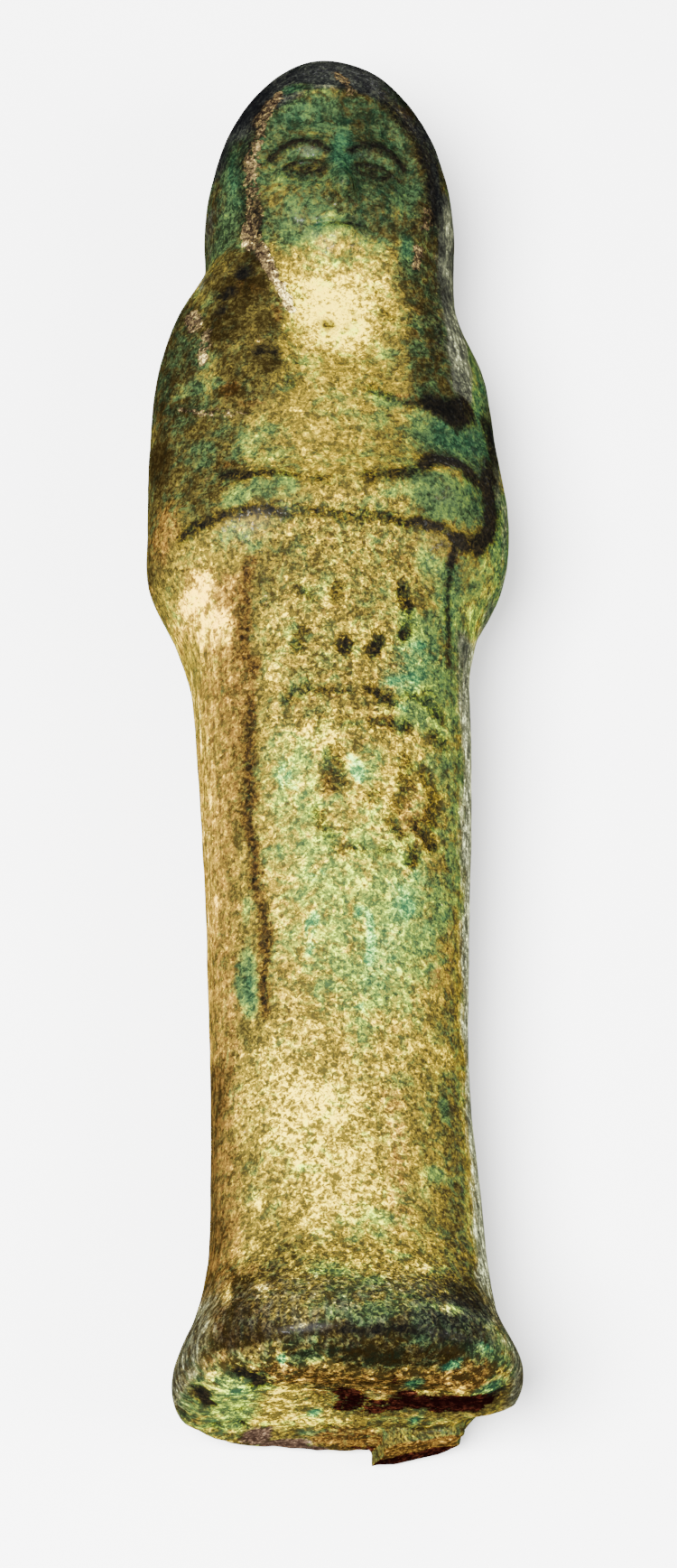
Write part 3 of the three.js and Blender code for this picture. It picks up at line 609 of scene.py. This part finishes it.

# ---------------------------------------------------------------- the throat and the chest
# Between the lappets the glaze is rubbed away to the bright cream body, with a few small pits; its
# middle, set past the palest tone, is partly a painted highlight. It ends in a soft worn arc above the hands.
washes(front, "tone", [
    ([[-2.6, 74.0], [0.6, 74.8]], 2.0, 1.2, 0.60),
    ([[-2.2, 76.2], [1.8, 75.4]], 0.4, 0.6, 0.58),
])
dabs(front, "tone", [
    [0.0, 81.4, 5.0, 6.0, 0.88], [-0.6, 81.2, 3.6, 3.8, 1.14], [0.8, 79.2, 2.4, 1.6, 1.06],
    [-3.0, 82.6, 1.0, 1.6, 1.00], [2.6, 83.6, 1.6, 1.0, 0.84], [3.4, 80.6, 0.8, 1.6, 0.60],
    [4.0, 78.0, 0.9, 2.6, 0.48], [2.8, 76.2, 1.4, 1.2, 0.54], [-3.4, 77.4, 0.8, 2.2, 0.58],
    [-3.6, 74.6, 1.2, 1.2, 0.46], [0.8, 75.4, 1.8, 0.6, 0.70], [0.2, 77.2, 2.2, 0.8, 0.72],
    [0.0, 85.0, 3.2, 0.8, 0.74],
])
dabs(front, "green", [
    [3.2, 77.0, 1.4, 1.8, 0.50], [2.6, 73.4, 2.0, 1.0, 0.70], [0.0, 81.0, 3.6, 4.4, 0.03],
    [-1.6, 74.6, 2.4, 1.4, 0.16],
])
THROAT_PITS = [
    [-1.0, 80.0, 0.42, 0.95], [0.3, 79.9, 0.16, 0.6], [0.8, 81.3, 0.15, 0.7], [3.2, 81.4, 0.22, 0.7],
    [3.5, 80.6, 0.20, 0.7], [-2.4, 82.3, 0.14, 0.6], [1.2, 80.7, 0.13, 0.7], [-3.3, 79.6, 0.15, 0.6],
    [-5.0, 77.0, 0.32, 0.8], [-3.7, 74.2, 0.25, 0.7], [-3.0, 76.4, 0.22, 0.6], [2.9, 83.4, 0.14, 0.6],
]
for place, level, radius, load in THROAT_PITS:
    brush(front, [[place - 0.02, level], [place + 0.02, level + 0.02]], radius, load)
    lift -= 0.12 * front.dab(place, level, radius * 1.6, radius * 1.6)

# ---------------------------------------------------------------- the foot
# The foot stands square to the legs. Its edge was dipped and fired on, so the glaze there pooled
# dark and amber, and what is left of a thicker sole hangs under the heel as a broken ledge.
washes(front, "tone", [
    ([[-7.8, 2.8], [-7.2, 6.2]], 1.7, 1.9, 0.19),
    ([[4.6, 2.8], [7.0, 5.6]], 1.8, 1.7, 0.22),
    ([[-4.8, 4.6], [1.6, 4.4]], 1.8, 1.5, 0.40),
    ([[-9.2, 1.9], [9.6, 1.7]], 0.9, 1.0, 0.12),
    ([[-10.6, 0.9], [-5.5, 0.7]], 0.4, 0.4, 0.44),
    ([[-4.5, 0.3], [4.0, 0.3]], 0.3, 0.3, 0.12),
    ([[10.2, 1.6], [9.4, 8.0]], 0.8, 0.8, 0.50),
    ([[-11.4, 1], [-10.2, 8]], 0.7, 0.6, 0.34),
    ([[11.6, 1], [10.4, 6]], 0.7, 0.6, 0.40),
    ([[-9.9, 3.0], [-9.3, 7.0]], 0.4, 0.6, 0.42),
])
dabs(front, "tone", [
    [-8.7, 6.2, 0.5, 1.4, 0.80], [-6.5, 5.9, 0.45, 1.1, 0.66], [4.6, 7.5, 0.6, 0.5, 0.80],
    [5.6, 5.6, 0.6, 0.35, 0.62], [5.6, 4.2, 1.6, 0.40, 0.78], [-4.4, 2.5, 0.4, 0.30, 0.74],
    [-3.8, 1.4, 0.9, 0.5, 0.66], [-5.6, 7.8, 0.8, 1.2, 0.24], [8.4, 1.6, 1.6, 0.6, 0.46],
    [1.2, 5.4, 1.6, 0.6, 0.56], [-9.6, 1.0, 1.6, 0.6, 0.50], [-7.4, 1.8, 1.8, 0.7, 0.14],
    [10.0, 5.0, 1.2, 1.8, 0.46], [1.0, 5.2, 2.4, 1.0, 0.44],
])
washes(front, "green", [
    ([[-7.0, 3.0], [-6.8, 7.4]], 2.4, 1.2, 0.10),
    ([[-2.0, 4.0], [9.0, 3.0]], 1.6, 1.2, 0.62),
    ([[3.0, 1.2], [10.0, 1.4]], 0.6, 0.5, 0.95),
])
washes(front, "dark", [
    ([[4.4, 3.0], [8.6, 5.4]], 1.8, 1.2, 0.50),
    ([[-9.0, 2.0], [8.0, 1.9]], 0.5, 0.9, 0.35),
])
dabs(front, "dark", [[5.6, 4.2, 1.6, 0.5, 0.0], [-6.6, 3.4, 2.0, 1.6, 0.35]])
washes(front, "rust", [
    ([[-10, 0.9], [4, 0.4]], 0.5, 0.4, 0.70),
    ([[-7.4, 3.0], [-6.4, 7.4]], 1.6, 1.2, 0.35),
])
washes(front, "film", [
    ([[-8, 4], [8, 4]], 3.6, 2.4, 0.38),
    ([[-11.2, 1], [-10.0, 8]], 0.9, 0.7, 0.55),
    ([[11.4, 1], [9.8, 8]], 0.9, 0.7, 0.62),
])
tint("speckle", front.shows * (1 - rise(up, 7, 11)), 1.6)
dabs(front, "turquoise", [[3.6, 1.7, 1.2, 0.5, 0.55], [8.4, 1.8, 1.2, 0.6, 0.70], [0.6, 6.0, 0.7, 0.7, 0.60]])
for route, half_width, load in [
    ([[0.4, 5.0], [3.9, 4.7]], 0.14, 0.62), ([[-1.0, 3.4], [3.6, 3.2]], 0.14, 0.55),
    ([[4.0, 5.2], [7.6, 5.0]], 0.12, 0.60), ([[4.2, 3.4], [8.4, 3.2]], 0.14, 0.62),
    ([[-1.8, 2.2], [3.4, 2.1]], 0.18, 0.80), ([[4.2, 6.6], [7.8, 6.9]], 0.18, 0.60),
]:
    brush(front, route, half_width, load)
    lift -= 0.04 * rise(front.inside(route, half_width), -0.2, 0.15)

# The worn edge of the sole, from the front of the foot down to the heel, by [across, above].
lift += 0.09 * end.shows * (grain(1.3, 42) + 0.6 * grain(0.6, 43))
# This end is set paler than its glaze as painted light, since the lamps light it less, and its stronger
# speckle and mottle partly stand in for glossy highlights, as painted highlights.
tint("speckle", end.shows, 1.3 + 0.6 * rise(above, 11, 13.5))
tint("mottle", end.shows, 2.0 + 1.6 * rise(above, 11, 13.5))
tint("tone", end.shows, 0.42)
tint("green", end.shows, 0.22)
tint("dark", end.shows, 0.0)
tint("rust", end.shows, 0.20)
washes(end, "tone", [
    ([[-9.4, 16.6], [-3.6, 17.2]], 1.4, 0.7, 0.34),
    ([[-3.0, 16.6], [9.0, 16.2]], 1.3, 0.7, 0.31),
    ([[-2.4, 14.4], [4.6, 14.4]], 1.5, 0.9, 0.24),
    ([[-7.6, 5.0], [-7.4, 12.6]], 1.8, 1.1, 0.58),
    ([[-4.4, 6.0], [-4.2, 12.4]], 1.2, 0.9, 0.72),
    ([[-4.0, 5.2], [-1.0, 6.2]], 1.6, 1.0, 0.70),
    ([[4.4, 11.0], [8.8, 11.6]], 1.2, 0.9, 0.26),
    ([[7.6, 6.2], [10.4, 8.4]], 1.1, 1.0, 0.50),
    ([[-9.8, 1.4], [-7.8, 3.4]], 1.2, 0.9, 0.56),
    ([[-4.6, 18.6], [7.0, 18.6]], 1.1, 0.5, 0.10),
])
dabs(end, "tone", [
    [2.4, 10.8, 0.8, 1.0, 0.62], [4.3, 13.2, 1.6, 0.5, 0.62], [1.2, 0.8, 1.6, 0.6, 0.62],
    [2.0, 3.2, 2.2, 1.6, 0.36], [-1.6, 10.4, 1.4, 1.8, 0.46], [0.6, 10.2, 0.9, 2.0, 0.24],
    [-5.6, 17.3, 0.7, 0.8, 0.46], [-3.0, 17.6, 1.4, 0.6, 0.50], [10.6, 12.0, 1.0, 2.0, 0.42],
    [0.6, 17.6, 2.4, 0.5, 0.16], [-7.0, 9.0, 1.0, 1.4, 0.68], [-2.6, 9.0, 0.8, 0.8, 0.66],
    [6.4, 4.6, 2.2, 1.4, 0.34], [-8.6, 7.0, 1.0, 1.0, 0.66],
])
washes(end, "green", [
    ([[-7.6, 5.0], [-7.6, 13.0]], 1.8, 1.1, 0.92),
    ([[-10.6, 4.0], [-10.8, 14.0]], 1.0, 0.8, 0.62),
    ([[-4.2, 6.0], [-4.0, 12.0]], 1.0, 0.8, 0.05),
    ([[-2.6, 15.8], [7.4, 15.6]], 1.4, 0.8, -0.40),
    ([[-4.6, 18.6], [7.0, 18.6]], 1.1, 0.5, 0.42),
])
dabs(end, "green", [
    [3.6, 15.0, 0.9, 2.0, 0.90], [-1.8, 7.4, 0.7, 1.3, 1.0], [5.2, 7.0, 0.7, 1.3, 1.0],
    [9.0, 14.0, 1.4, 1.3, 1.0], [8.8, 17.2, 1.6, 1.2, 0.95], [9.0, 7.4, 2.2, 2.0, 0.55],
    [-10.0, 16.6, 1.2, 1.0, 0.70],
])
dabs(end, "teal", [
    [3.6, 15.0, 0.8, 1.8, 0.70], [-7.6, 12.4, 1.0, 1.6, 0.60], [9.0, 14.0, 1.2, 1.2, 0.60],
    [8.8, 17.4, 1.4, 1.0, 0.70], [-1.6, 3.4, 1.4, 1.0, 0.55], [-8.0, 6.4, 1.2, 1.2, 0.30],
])
washes(end, "rust", [
    ([[-9.0, 16.6], [-3.0, 17.0]], 1.0, 0.7, 0.24),
    ([[-5.4, 15.6], [7.4, 15.4]], 1.6, 0.9, 0.60),
    ([[-1.8, 12.6], [3.0, 12.2]], 1.4, 0.8, 0.64),
    ([[0.0, 3.2], [4.6, 2.8]], 1.6, 0.9, 0.75),
    ([[5.0, 12.6], [9.4, 12.8]], 0.7, 0.6, 0.70),
])
dabs(end, "turquoise", [
    [-5.6, 17.3, 0.6, 0.8, 1.3], [-1.8, 7.2, 0.6, 1.2, 1.0], [5.2, 7.0, 0.5, 1.1, 1.0],
    [6.0, 17.2, 1.2, 0.8, 1.0], [-7.4, 12.4, 1.0, 2.0, 0.60], [-1.6, 3.4, 1.4, 1.0, 0.55],
    [8.8, 17.4, 1.3, 1.0, 1.2], [3.4, 15.2, 0.7, 1.2, 0.80],
])
MAROON = [
    ([[4.2, 10.4], [5.4, 10.9], [7.4, 11.6], [8.4, 12.0]], 1.35, 0.90),
    ([[5.6, 10.2], [8.4, 10.4]], 0.90, 0.80),
    ([[3.6, 12.6], [3.9, 11.2]], 0.70, 0.85),
    ([[-0.6, 12.4], [0.5, 10.6], [0.2, 8.8]], 0.90, 0.78),
    ([[2.2, 9.8], [2.0, 8.0]], 0.60, 0.78),
    ([[2.9, 9.4], [3.4, 8.9]], 0.70, 0.85),
    ([[1.9, 17.6], [2.2, 16.4], [2.6, 14.6]], 0.28, 0.55),
]
stain = np.zeros(count)
for route, half_width, amount in MAROON:
    stain = np.maximum(stain, amount * rise(end.inside(route, half_width), -0.8, 0.4))
for route, half_width, load in [
    ([[-8.0, 14.9], [-6.8, 15.0], [-6.5, 13.6]], 0.62, 1.0), ([[-9.7, 11.0], [-9.1, 9.4]], 0.58, 1.0),
    ([[9.4, 12.8], [9.9, 13.2]], 0.35, 0.95), ([[-10.7, 6.6], [-10.4, 5.6]], 0.25, 0.8),
    ([[-6.6, 5.0], [-6.3, 4.5]], 0.28, 0.8), ([[-8.2, 5.2], [-7.9, 4.4]], 0.22, 0.7),
    ([[-0.5, 4.8], [-0.6, 4.3]], 0.22, 0.8), ([[10.8, 5.6], [11.2, 4.6]], 0.28, 0.8),
    ([[-6.9, 8.6], [-7.1, 8.0]], 0.16, 0.7), ([[-2.4, 11.0], [-1.6, 10.4]], 0.22, 0.5),
]:
    brush(end, route, half_width, load)
    lift -= 0.16 * rise(end.inside(route, half_width), -0.3, 0.2)
# A violet-brown patch at the heel, and the broken ledge in amber glaze.
heel_patch = np.maximum.reduce([
    end.dab(-5.0, 2.9, 1.7, 2.0), end.dab(-2.8, 1.5, 2.5, 1.2), end.dab(-0.8, 0.9, 1.6, 0.8),
])
tint("tone", heel_patch, 0.34)
ledge = rise(-up, -0.3, 0.1) * end.dab(6.2, 2.8, 8.0, 8.0).clip(0, 0.6) / 0.6
lift += 0.10 * ledge * grain(0.7, 41)
stain = np.maximum(stain, 0.9 * ledge * rise(-above, -3.4, -1.6))
tint("rust", ledge, 0.70)
tint("green", ledge, -0.3)
tint("tone", ledge, 0.36)
tint("speckle", ledge, 1.6)

# Thick glaze is smooth, and the rubbed body and the worn foot are the most speckled.
washes(front, "speckle", [
    ([[-1, 65], [0, 76]], 4.2, 2.0, 0.82),
    ([[7, 62], [8, 74]], 3.0, 2.0, 0.75),
    ([[0, 80], [0, 83]], 2.6, 2.0, 0.80),
    ([[0, 50], [0, 60]], 5.2, 2.0, 1.25),
    ([[-1, 14], [-1, 24]], 5.0, 2.0, 1.12),
])
tint("speckle", in_face, 0.75)

# ---------------------------------------------------------------- the skin, carved and painted
# The relief is pressed into the skin, which still lies on its flat back, and each layer of glaze
# becomes an attribute of the skin.
TOUCHING = 0.02  # mm above the surface that it lies on
resting = above < TOUCHING
lift[resting] = 0
points += outward * lift[:, None]
points[:, 0] = np.clip(points[:, 0], low.x, high.x)
points[:, 1] = np.clip(points[:, 1], low.y, high.y)
points[:, 2] = np.clip(points[:, 2], low.z, high.z)
body.data.vertices.foreach_set("co", (points / MM).ravel())
body.data.update()
paint["polish"] = rise(outward[:, 2], 0.6, 0.95)
paint |= {"ink": ink, "ink_load": ink_load, "stain": stain, "heel_patch": heel_patch}
for layer, amounts in paint.items():
    attribute = body.data.attributes.new(layer, "FLOAT", "POINT")
    attribute.data.foreach_set("value", amounts.astype(np.float32))

# ---------------------------------------------------------------- the glaze
# Copper-green faience glaze, rubbed and stained in the ground: a cream body under specks of olive
# and green, dark manganese brushwork, amber pools and pale crust.
RAMP_STOPS = 16


class Glaze:
    """The node tree of one material."""

    def __init__(self, name):
        self.material = bpy.data.materials.new(name)
        self.material.use_nodes = True
        self.tree = self.material.node_tree
        self.tree.nodes.clear()

    def node(self, kind, settings, inputs, output=0):
        made = self.tree.nodes.new(kind)
        for key, setting in settings.items():
            if key == "stops":
                ramp = made.color_ramp
                while len(ramp.elements) < len(setting):
                    ramp.elements.new(1)
                for element, (position, colour) in zip(ramp.elements, setting):
                    element.position = position
                    element.color = (*colour, 1)
            else:
                setattr(made, key, setting)
        for key, value in inputs.items():
            if isinstance(value, Shade):
                self.tree.links.new(value.socket, made.inputs[key])
            else:
                made.inputs[key].default_value = value
        return Shade(self, made.outputs[output]) if made.outputs else None

    def layer(self, name):
        return self.node("ShaderNodeAttribute", {"attribute_name": name}, {}, "Fac")

    def ramp(self, value, colours):
        """The colours at even tones from 0 to 1, with each pair mixed by equal ratios between them."""
        stops = []
        for step in range(RAMP_STOPS):
            place = step / (RAMP_STOPS - 1) * (len(colours) - 1)
            pair = min(int(place), len(colours) - 2)
            under, over = colours[pair:pair + 2]
            share = place - pair
            mixed = [low * (high / low) ** share for low, high in zip(under, over)]
            stops.append((step / (RAMP_STOPS - 1), mixed))
        return self.node("ShaderNodeValToRGB", {"stops": stops}, {0: value})

    def noise(self, place, scale, detail, roughness, distortion=0):
        return self.node("ShaderNodeTexNoise", {}, {
            "Vector": place, "Scale": scale, "Detail": detail, "Roughness": roughness,
            "Distortion": distortion,
        })

    def mix(self, share, under, over):
        return self.node("ShaderNodeMix", {"data_type": "RGBA"}, {0: share, 6: under, 7: over}, 2)


class Shade:
    """A socket's value over the surface. Arithmetic on it adds Math nodes."""

    def __init__(self, glaze, socket):
        self.glaze = glaze
        self.socket = socket

    def math(self, operation, first, second):
        return self.glaze.node("ShaderNodeMath", {"operation": operation}, {0: first, 1: second})

    def __add__(self, other):
        return self.math("ADD", self, other)

    def __radd__(self, other):
        return self.math("ADD", other, self)

    def __sub__(self, other):
        return self.math("SUBTRACT", self, other)

    def __rsub__(self, other):
        return self.math("SUBTRACT", other, self)

    def __mul__(self, other):
        return self.math("MULTIPLY", self, other)

    def __rmul__(self, other):
        return self.math("MULTIPLY", other, self)

    def at_least(self, other):
        return self.math("MAXIMUM", self, other)

    def step(self, start, end):
        """A smooth step from 0 at start to 1 at end."""
        return self.glaze.node("ShaderNodeMapRange", {"interpolation_type": "SMOOTHSTEP"}, {
            "Value": self, "From Min": start, "From Max": end,
        })


# The unevenness of the glaze, by its humps in each mm.
LENGTHWISE = 0.16  # humps along the figure for each one across it, in its streaks
faience = Glaze("glazed_faience")
place = faience.node("ShaderNodeTexCoord", {}, {}, "Object")
in_mm = faience.node("ShaderNodeVectorMath", {"operation": "SCALE"}, {0: place, "Scale": MM})
lengthwise = faience.node("ShaderNodeVectorMath", {"operation": "MULTIPLY"}, {
    0: in_mm, 1: (1, LENGTHWISE, 1),
})
fine = faience.noise(in_mm, 3.4, 3, 0.62, 0.8)
second_fine = faience.noise(in_mm, 2.3, 3, 0.6, 1.2)
middle = faience.noise(in_mm, 1.1, 3, 0.55, 0.4)
blotches = faience.noise(in_mm, 0.85, 3, 0.6, 0.9)
broad = faience.noise(in_mm, 0.4, 2, 0.5)
streaks = faience.noise(lengthwise, 2.8, 3, 0.6)
flecks_and_glints = faience.noise(in_mm, 3.0, 2, 0.5, 1.6).step(0.56, 0.68)
pores = faience.noise(in_mm, 2.6, 2, 0.5, 0.3).step(0.58, 0.66)

# How pale the glaze is at a point: its painted tone under specks, streaks, bright flecks and pores.
# The bright flecks partly stand in for glints, as painted highlights.
painted_tone = faience.layer("tone")
streak = faience.layer("streak")
swing = 0.5 + painted_tone * 2.1
rough = swing * faience.layer("speckle")
tone = painted_tone + (fine - 0.5) * (0.95 - 0.5 * streak) * rough
tone = tone + (middle - 0.5) * 0.5 * swing * faience.layer("mottle")
tone = tone + (broad - 0.5) * 0.18 + (streaks - 0.5) * (0.15 + streak * 0.5) * rough
tone = tone - 0.05 + flecks_and_glints * 0.11 * rough - pores * 0.10 * rough
tone = tone.at_least(painted_tone * 0.66 - 0.06 + (fine - 0.5) * 0.3)

# Each glaze is mixed from four colours: laid thickest, thick, thin, and rubbed or fired palest.
BODY = [(0.004, 0.0025, 0.0007), (0.027, 0.022, 0.006), (0.14, 0.095, 0.006), (0.80, 0.60, 0.01)]
GREEN = [(0.002, 0.003, 0.0015), (0.018, 0.032, 0.012), (0.09, 0.125, 0.015), (0.50, 0.70, 0.006)]
TURQUOISE = [(0.001, 0.005, 0.003), (0.01, 0.035, 0.017), (0.06, 0.15, 0.03), (0.45, 0.85, 0.15)]
DARK = [(0.0014, 0.0015, 0.0018), (0.018, 0.02, 0.015), (0.08, 0.08, 0.05), (0.30, 0.30, 0.20)]
RUST = [(0.004, 0.002, 0.0005), (0.040, 0.020, 0.005), (0.16, 0.09, 0.011), (0.90, 0.55, 0.03)]
# The grey film's colours, which on the grazing edges stand partly for a painted sheen.
FILM_AND_SHEEN = [(0.003, 0.003, 0.0025), (0.018, 0.019, 0.014), (0.075, 0.08, 0.045), (0.80, 0.85, 0.42)]
CRUST = [(0.005, 0.003, 0.002), (0.027, 0.019, 0.01), (0.13, 0.09, 0.03), (0.95, 0.80, 0.25)]
STAIN = [(0.002, 0.0004, 0.0004), (0.016, 0.004, 0.002), (0.05, 0.015, 0.006), (0.10, 0.04, 0.02)]
HEEL = [(0.006, 0.003, 0.002), (0.025, 0.015, 0.01), (0.11, 0.07, 0.04), (0.40, 0.30, 0.20)]
INK = [(0.001, 0.001, 0.001), (0.008, 0.006, 0.003), (0.023, 0.016, 0.006), (0.06, 0.04, 0.015)]

# The layers lie over each other in this order, each with a ragged edge.
patches = (second_fine - 0.5) * 1.0 + (middle - 0.5) * 0.9
colour = faience.ramp(tone, BODY)
rust = (faience.layer("rust") + patches).step(0.22, 0.78)
colour = faience.mix(rust, colour, faience.ramp(tone, RUST))
green = faience.layer("green") - (second_fine - 0.5) * 0.8 + (blotches - 0.5) * 2.1 + (broad - 0.5) * 0.6
green = green.step(0.1, 0.9)
colour = faience.mix(green, colour, faience.ramp(tone, GREEN))
teal = (faience.layer("teal") - patches * 0.8).step(0.1, 0.9)
colour = faience.mix(teal * 0.75, colour, faience.ramp(tone - 0.03, TURQUOISE))
# The grey film, partly a painted sheen on the grazing edges.
film = (faience.layer("film") + (streaks - 0.5) * 0.9 + (middle - 0.5) * 0.4).step(0.2, 0.8)
colour = faience.mix(film, colour, faience.ramp(tone, FILM_AND_SHEEN))
dark = (faience.layer("dark") - (fine - 0.5) * 0.8 + (middle - 0.5) * 0.4).step(0.2, 0.8)
colour = faience.mix(dark, colour, faience.ramp(tone, DARK))
turquoise = faience.layer("turquoise") + (second_fine - 0.5) * 1.2 + (blotches - 0.5) * 1.2
colour = faience.mix(turquoise.step(0.45, 1.0), colour, faience.ramp(tone, TURQUOISE))
crust = (faience.layer("crust") + (second_fine - 0.5) * 1.7 + (middle - 0.5) * 0.9).step(0.36, 0.62)
colour = faience.mix(crust, colour, faience.ramp(tone + 0.14 + (fine - 0.5) * 1.2, CRUST))
heel = (faience.layer("heel_patch") + (middle - 0.5) * 1.2 + (second_fine - 0.5) * 1.0).step(0.3, 0.6)
colour = faience.mix(heel, colour, faience.ramp(tone, HEEL))
stained = (faience.layer("stain") + (middle - 0.5) * 1.7 + (second_fine - 0.5) * 1.0).step(0.4, 0.62)
colour = faience.mix(stained, colour, faience.ramp(tone - 0.24, STAIN))
stroke = (faience.layer("ink") + (middle - 0.5) * 1.0 + (second_fine - 0.5) * 0.7).step(-0.4, 0.3)
left = (faience.layer("ink_load") - (fine - 0.5) * 0.6 + (middle - 0.5) * 0.6).step(0.1, 0.95)
inked = stroke * left
colour = faience.mix(inked, colour, faience.ramp(tone * 0.3 + fine * 0.4 - 0.12, INK))

height = crust * 0.8 + fine * 0.6 + middle * 0.6 - pores * 0.3 - inked * 0.2
bump = faience.node("ShaderNodeBump", {}, {"Strength": 0.8, "Distance": 0.18 / MM, "Height": height})
glints = faience.noise(in_mm, 3.8, 1, 0.5).step(0.62, 0.7)
gloss = faience.layer("polish") * (1 - crust) * (0.02 + 0.16 * glints)
surface = faience.node("ShaderNodeBsdfPrincipled", {}, {
    "Base Color": colour, "Roughness": 1.0, "Normal": bump, "Specular IOR Level": 0.0,
    "Coat Weight": gloss, "Coat Roughness": 0.22,
})
faience.node("ShaderNodeOutputMaterial", {}, {"Surface": surface})
body.data.materials.clear()
body.data.materials.append(faience.material)
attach(body, "root")
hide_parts("figurine")

# ---------------------------------------------------------------- floor, light and camera
# The figurine lies on a plain pale table under broad soft lamps, seen from above its foot end.
bpy.ops.object.select_all(action="DESELECT")
bpy.ops.mesh.primitive_plane_add(size=6)
floor = bpy.context.object
floor.name = "floor"
table = Glaze("pale_table")
pale = table.node("ShaderNodeBsdfPrincipled", {}, {"Base Color": (0.93, 0.93, 0.93, 1), "Roughness": 0.9})
table.node("ShaderNodeOutputMaterial", {}, {"Surface": pale})
floor.data.materials.append(table.material)

world = bpy.data.worlds.new("pale_room")
world.use_nodes = True
world.node_tree.nodes["Background"].inputs["Color"].default_value = (1, 1, 1, 1)
world.node_tree.nodes["Background"].inputs["Strength"].default_value = 0.95
bpy.context.scene.world = world

# Each lamp: its name, azimuth and elevation in degrees, distance and size in m, and watts.
LAMPS = [("key_lamp", -55, 58, 0.7, 0.4, 38), ("fill_lamp", 75, 40, 0.8, 0.5, 9)]
aim = Vector((0.43, -5.33, 8.0)) / MM
for name, azimuth, elevation, distance, size, watts in LAMPS:
    lamp = bpy.data.lights.new(name, "AREA")
    lamp.shape = "DISK"
    lamp.size = size
    lamp.energy = watts
    holder = bpy.data.objects.new(name, lamp)
    bpy.context.scene.collection.objects.link(holder)
    turn, tilt = math.radians(azimuth), math.radians(elevation)
    away = Vector((math.sin(turn) * math.cos(tilt), -math.cos(turn) * math.cos(tilt), math.sin(tilt)))
    holder.location = aim + away * distance
    holder.rotation_euler = away.to_track_quat("Z", "Y").to_euler()

TURN = math.radians(9)
TILT = math.radians(65)
ROLL = math.radians(-0.92)
CAMERA_DISTANCE = 3.5 * HEIGHT / MM
LENS = 119.7  # mm, for a sensor of 36 mm
away = Vector((-math.sin(TILT) * math.sin(TURN), -math.cos(TILT), math.sin(TILT) * math.cos(TURN)))
level = Vector((0, 1, 0))
level = (level - away * level.dot(away)).normalized()
rightward = level.cross(away)
tilted_right = rightward * math.cos(ROLL) + level * math.sin(ROLL)
tilted_up = level * math.cos(ROLL) - rightward * math.sin(ROLL)
camera = bpy.data.objects.new("camera", bpy.data.cameras.new("camera"))
bpy.context.scene.collection.objects.link(camera)
camera.location = aim + away * CAMERA_DISTANCE
camera.rotation_euler = Matrix((tilted_right, tilted_up, away)).transposed().to_euler()
camera.data.sensor_width = 36
camera.data.lens = LENS
camera.data.clip_start = 0.01
bpy.context.scene.camera = camera
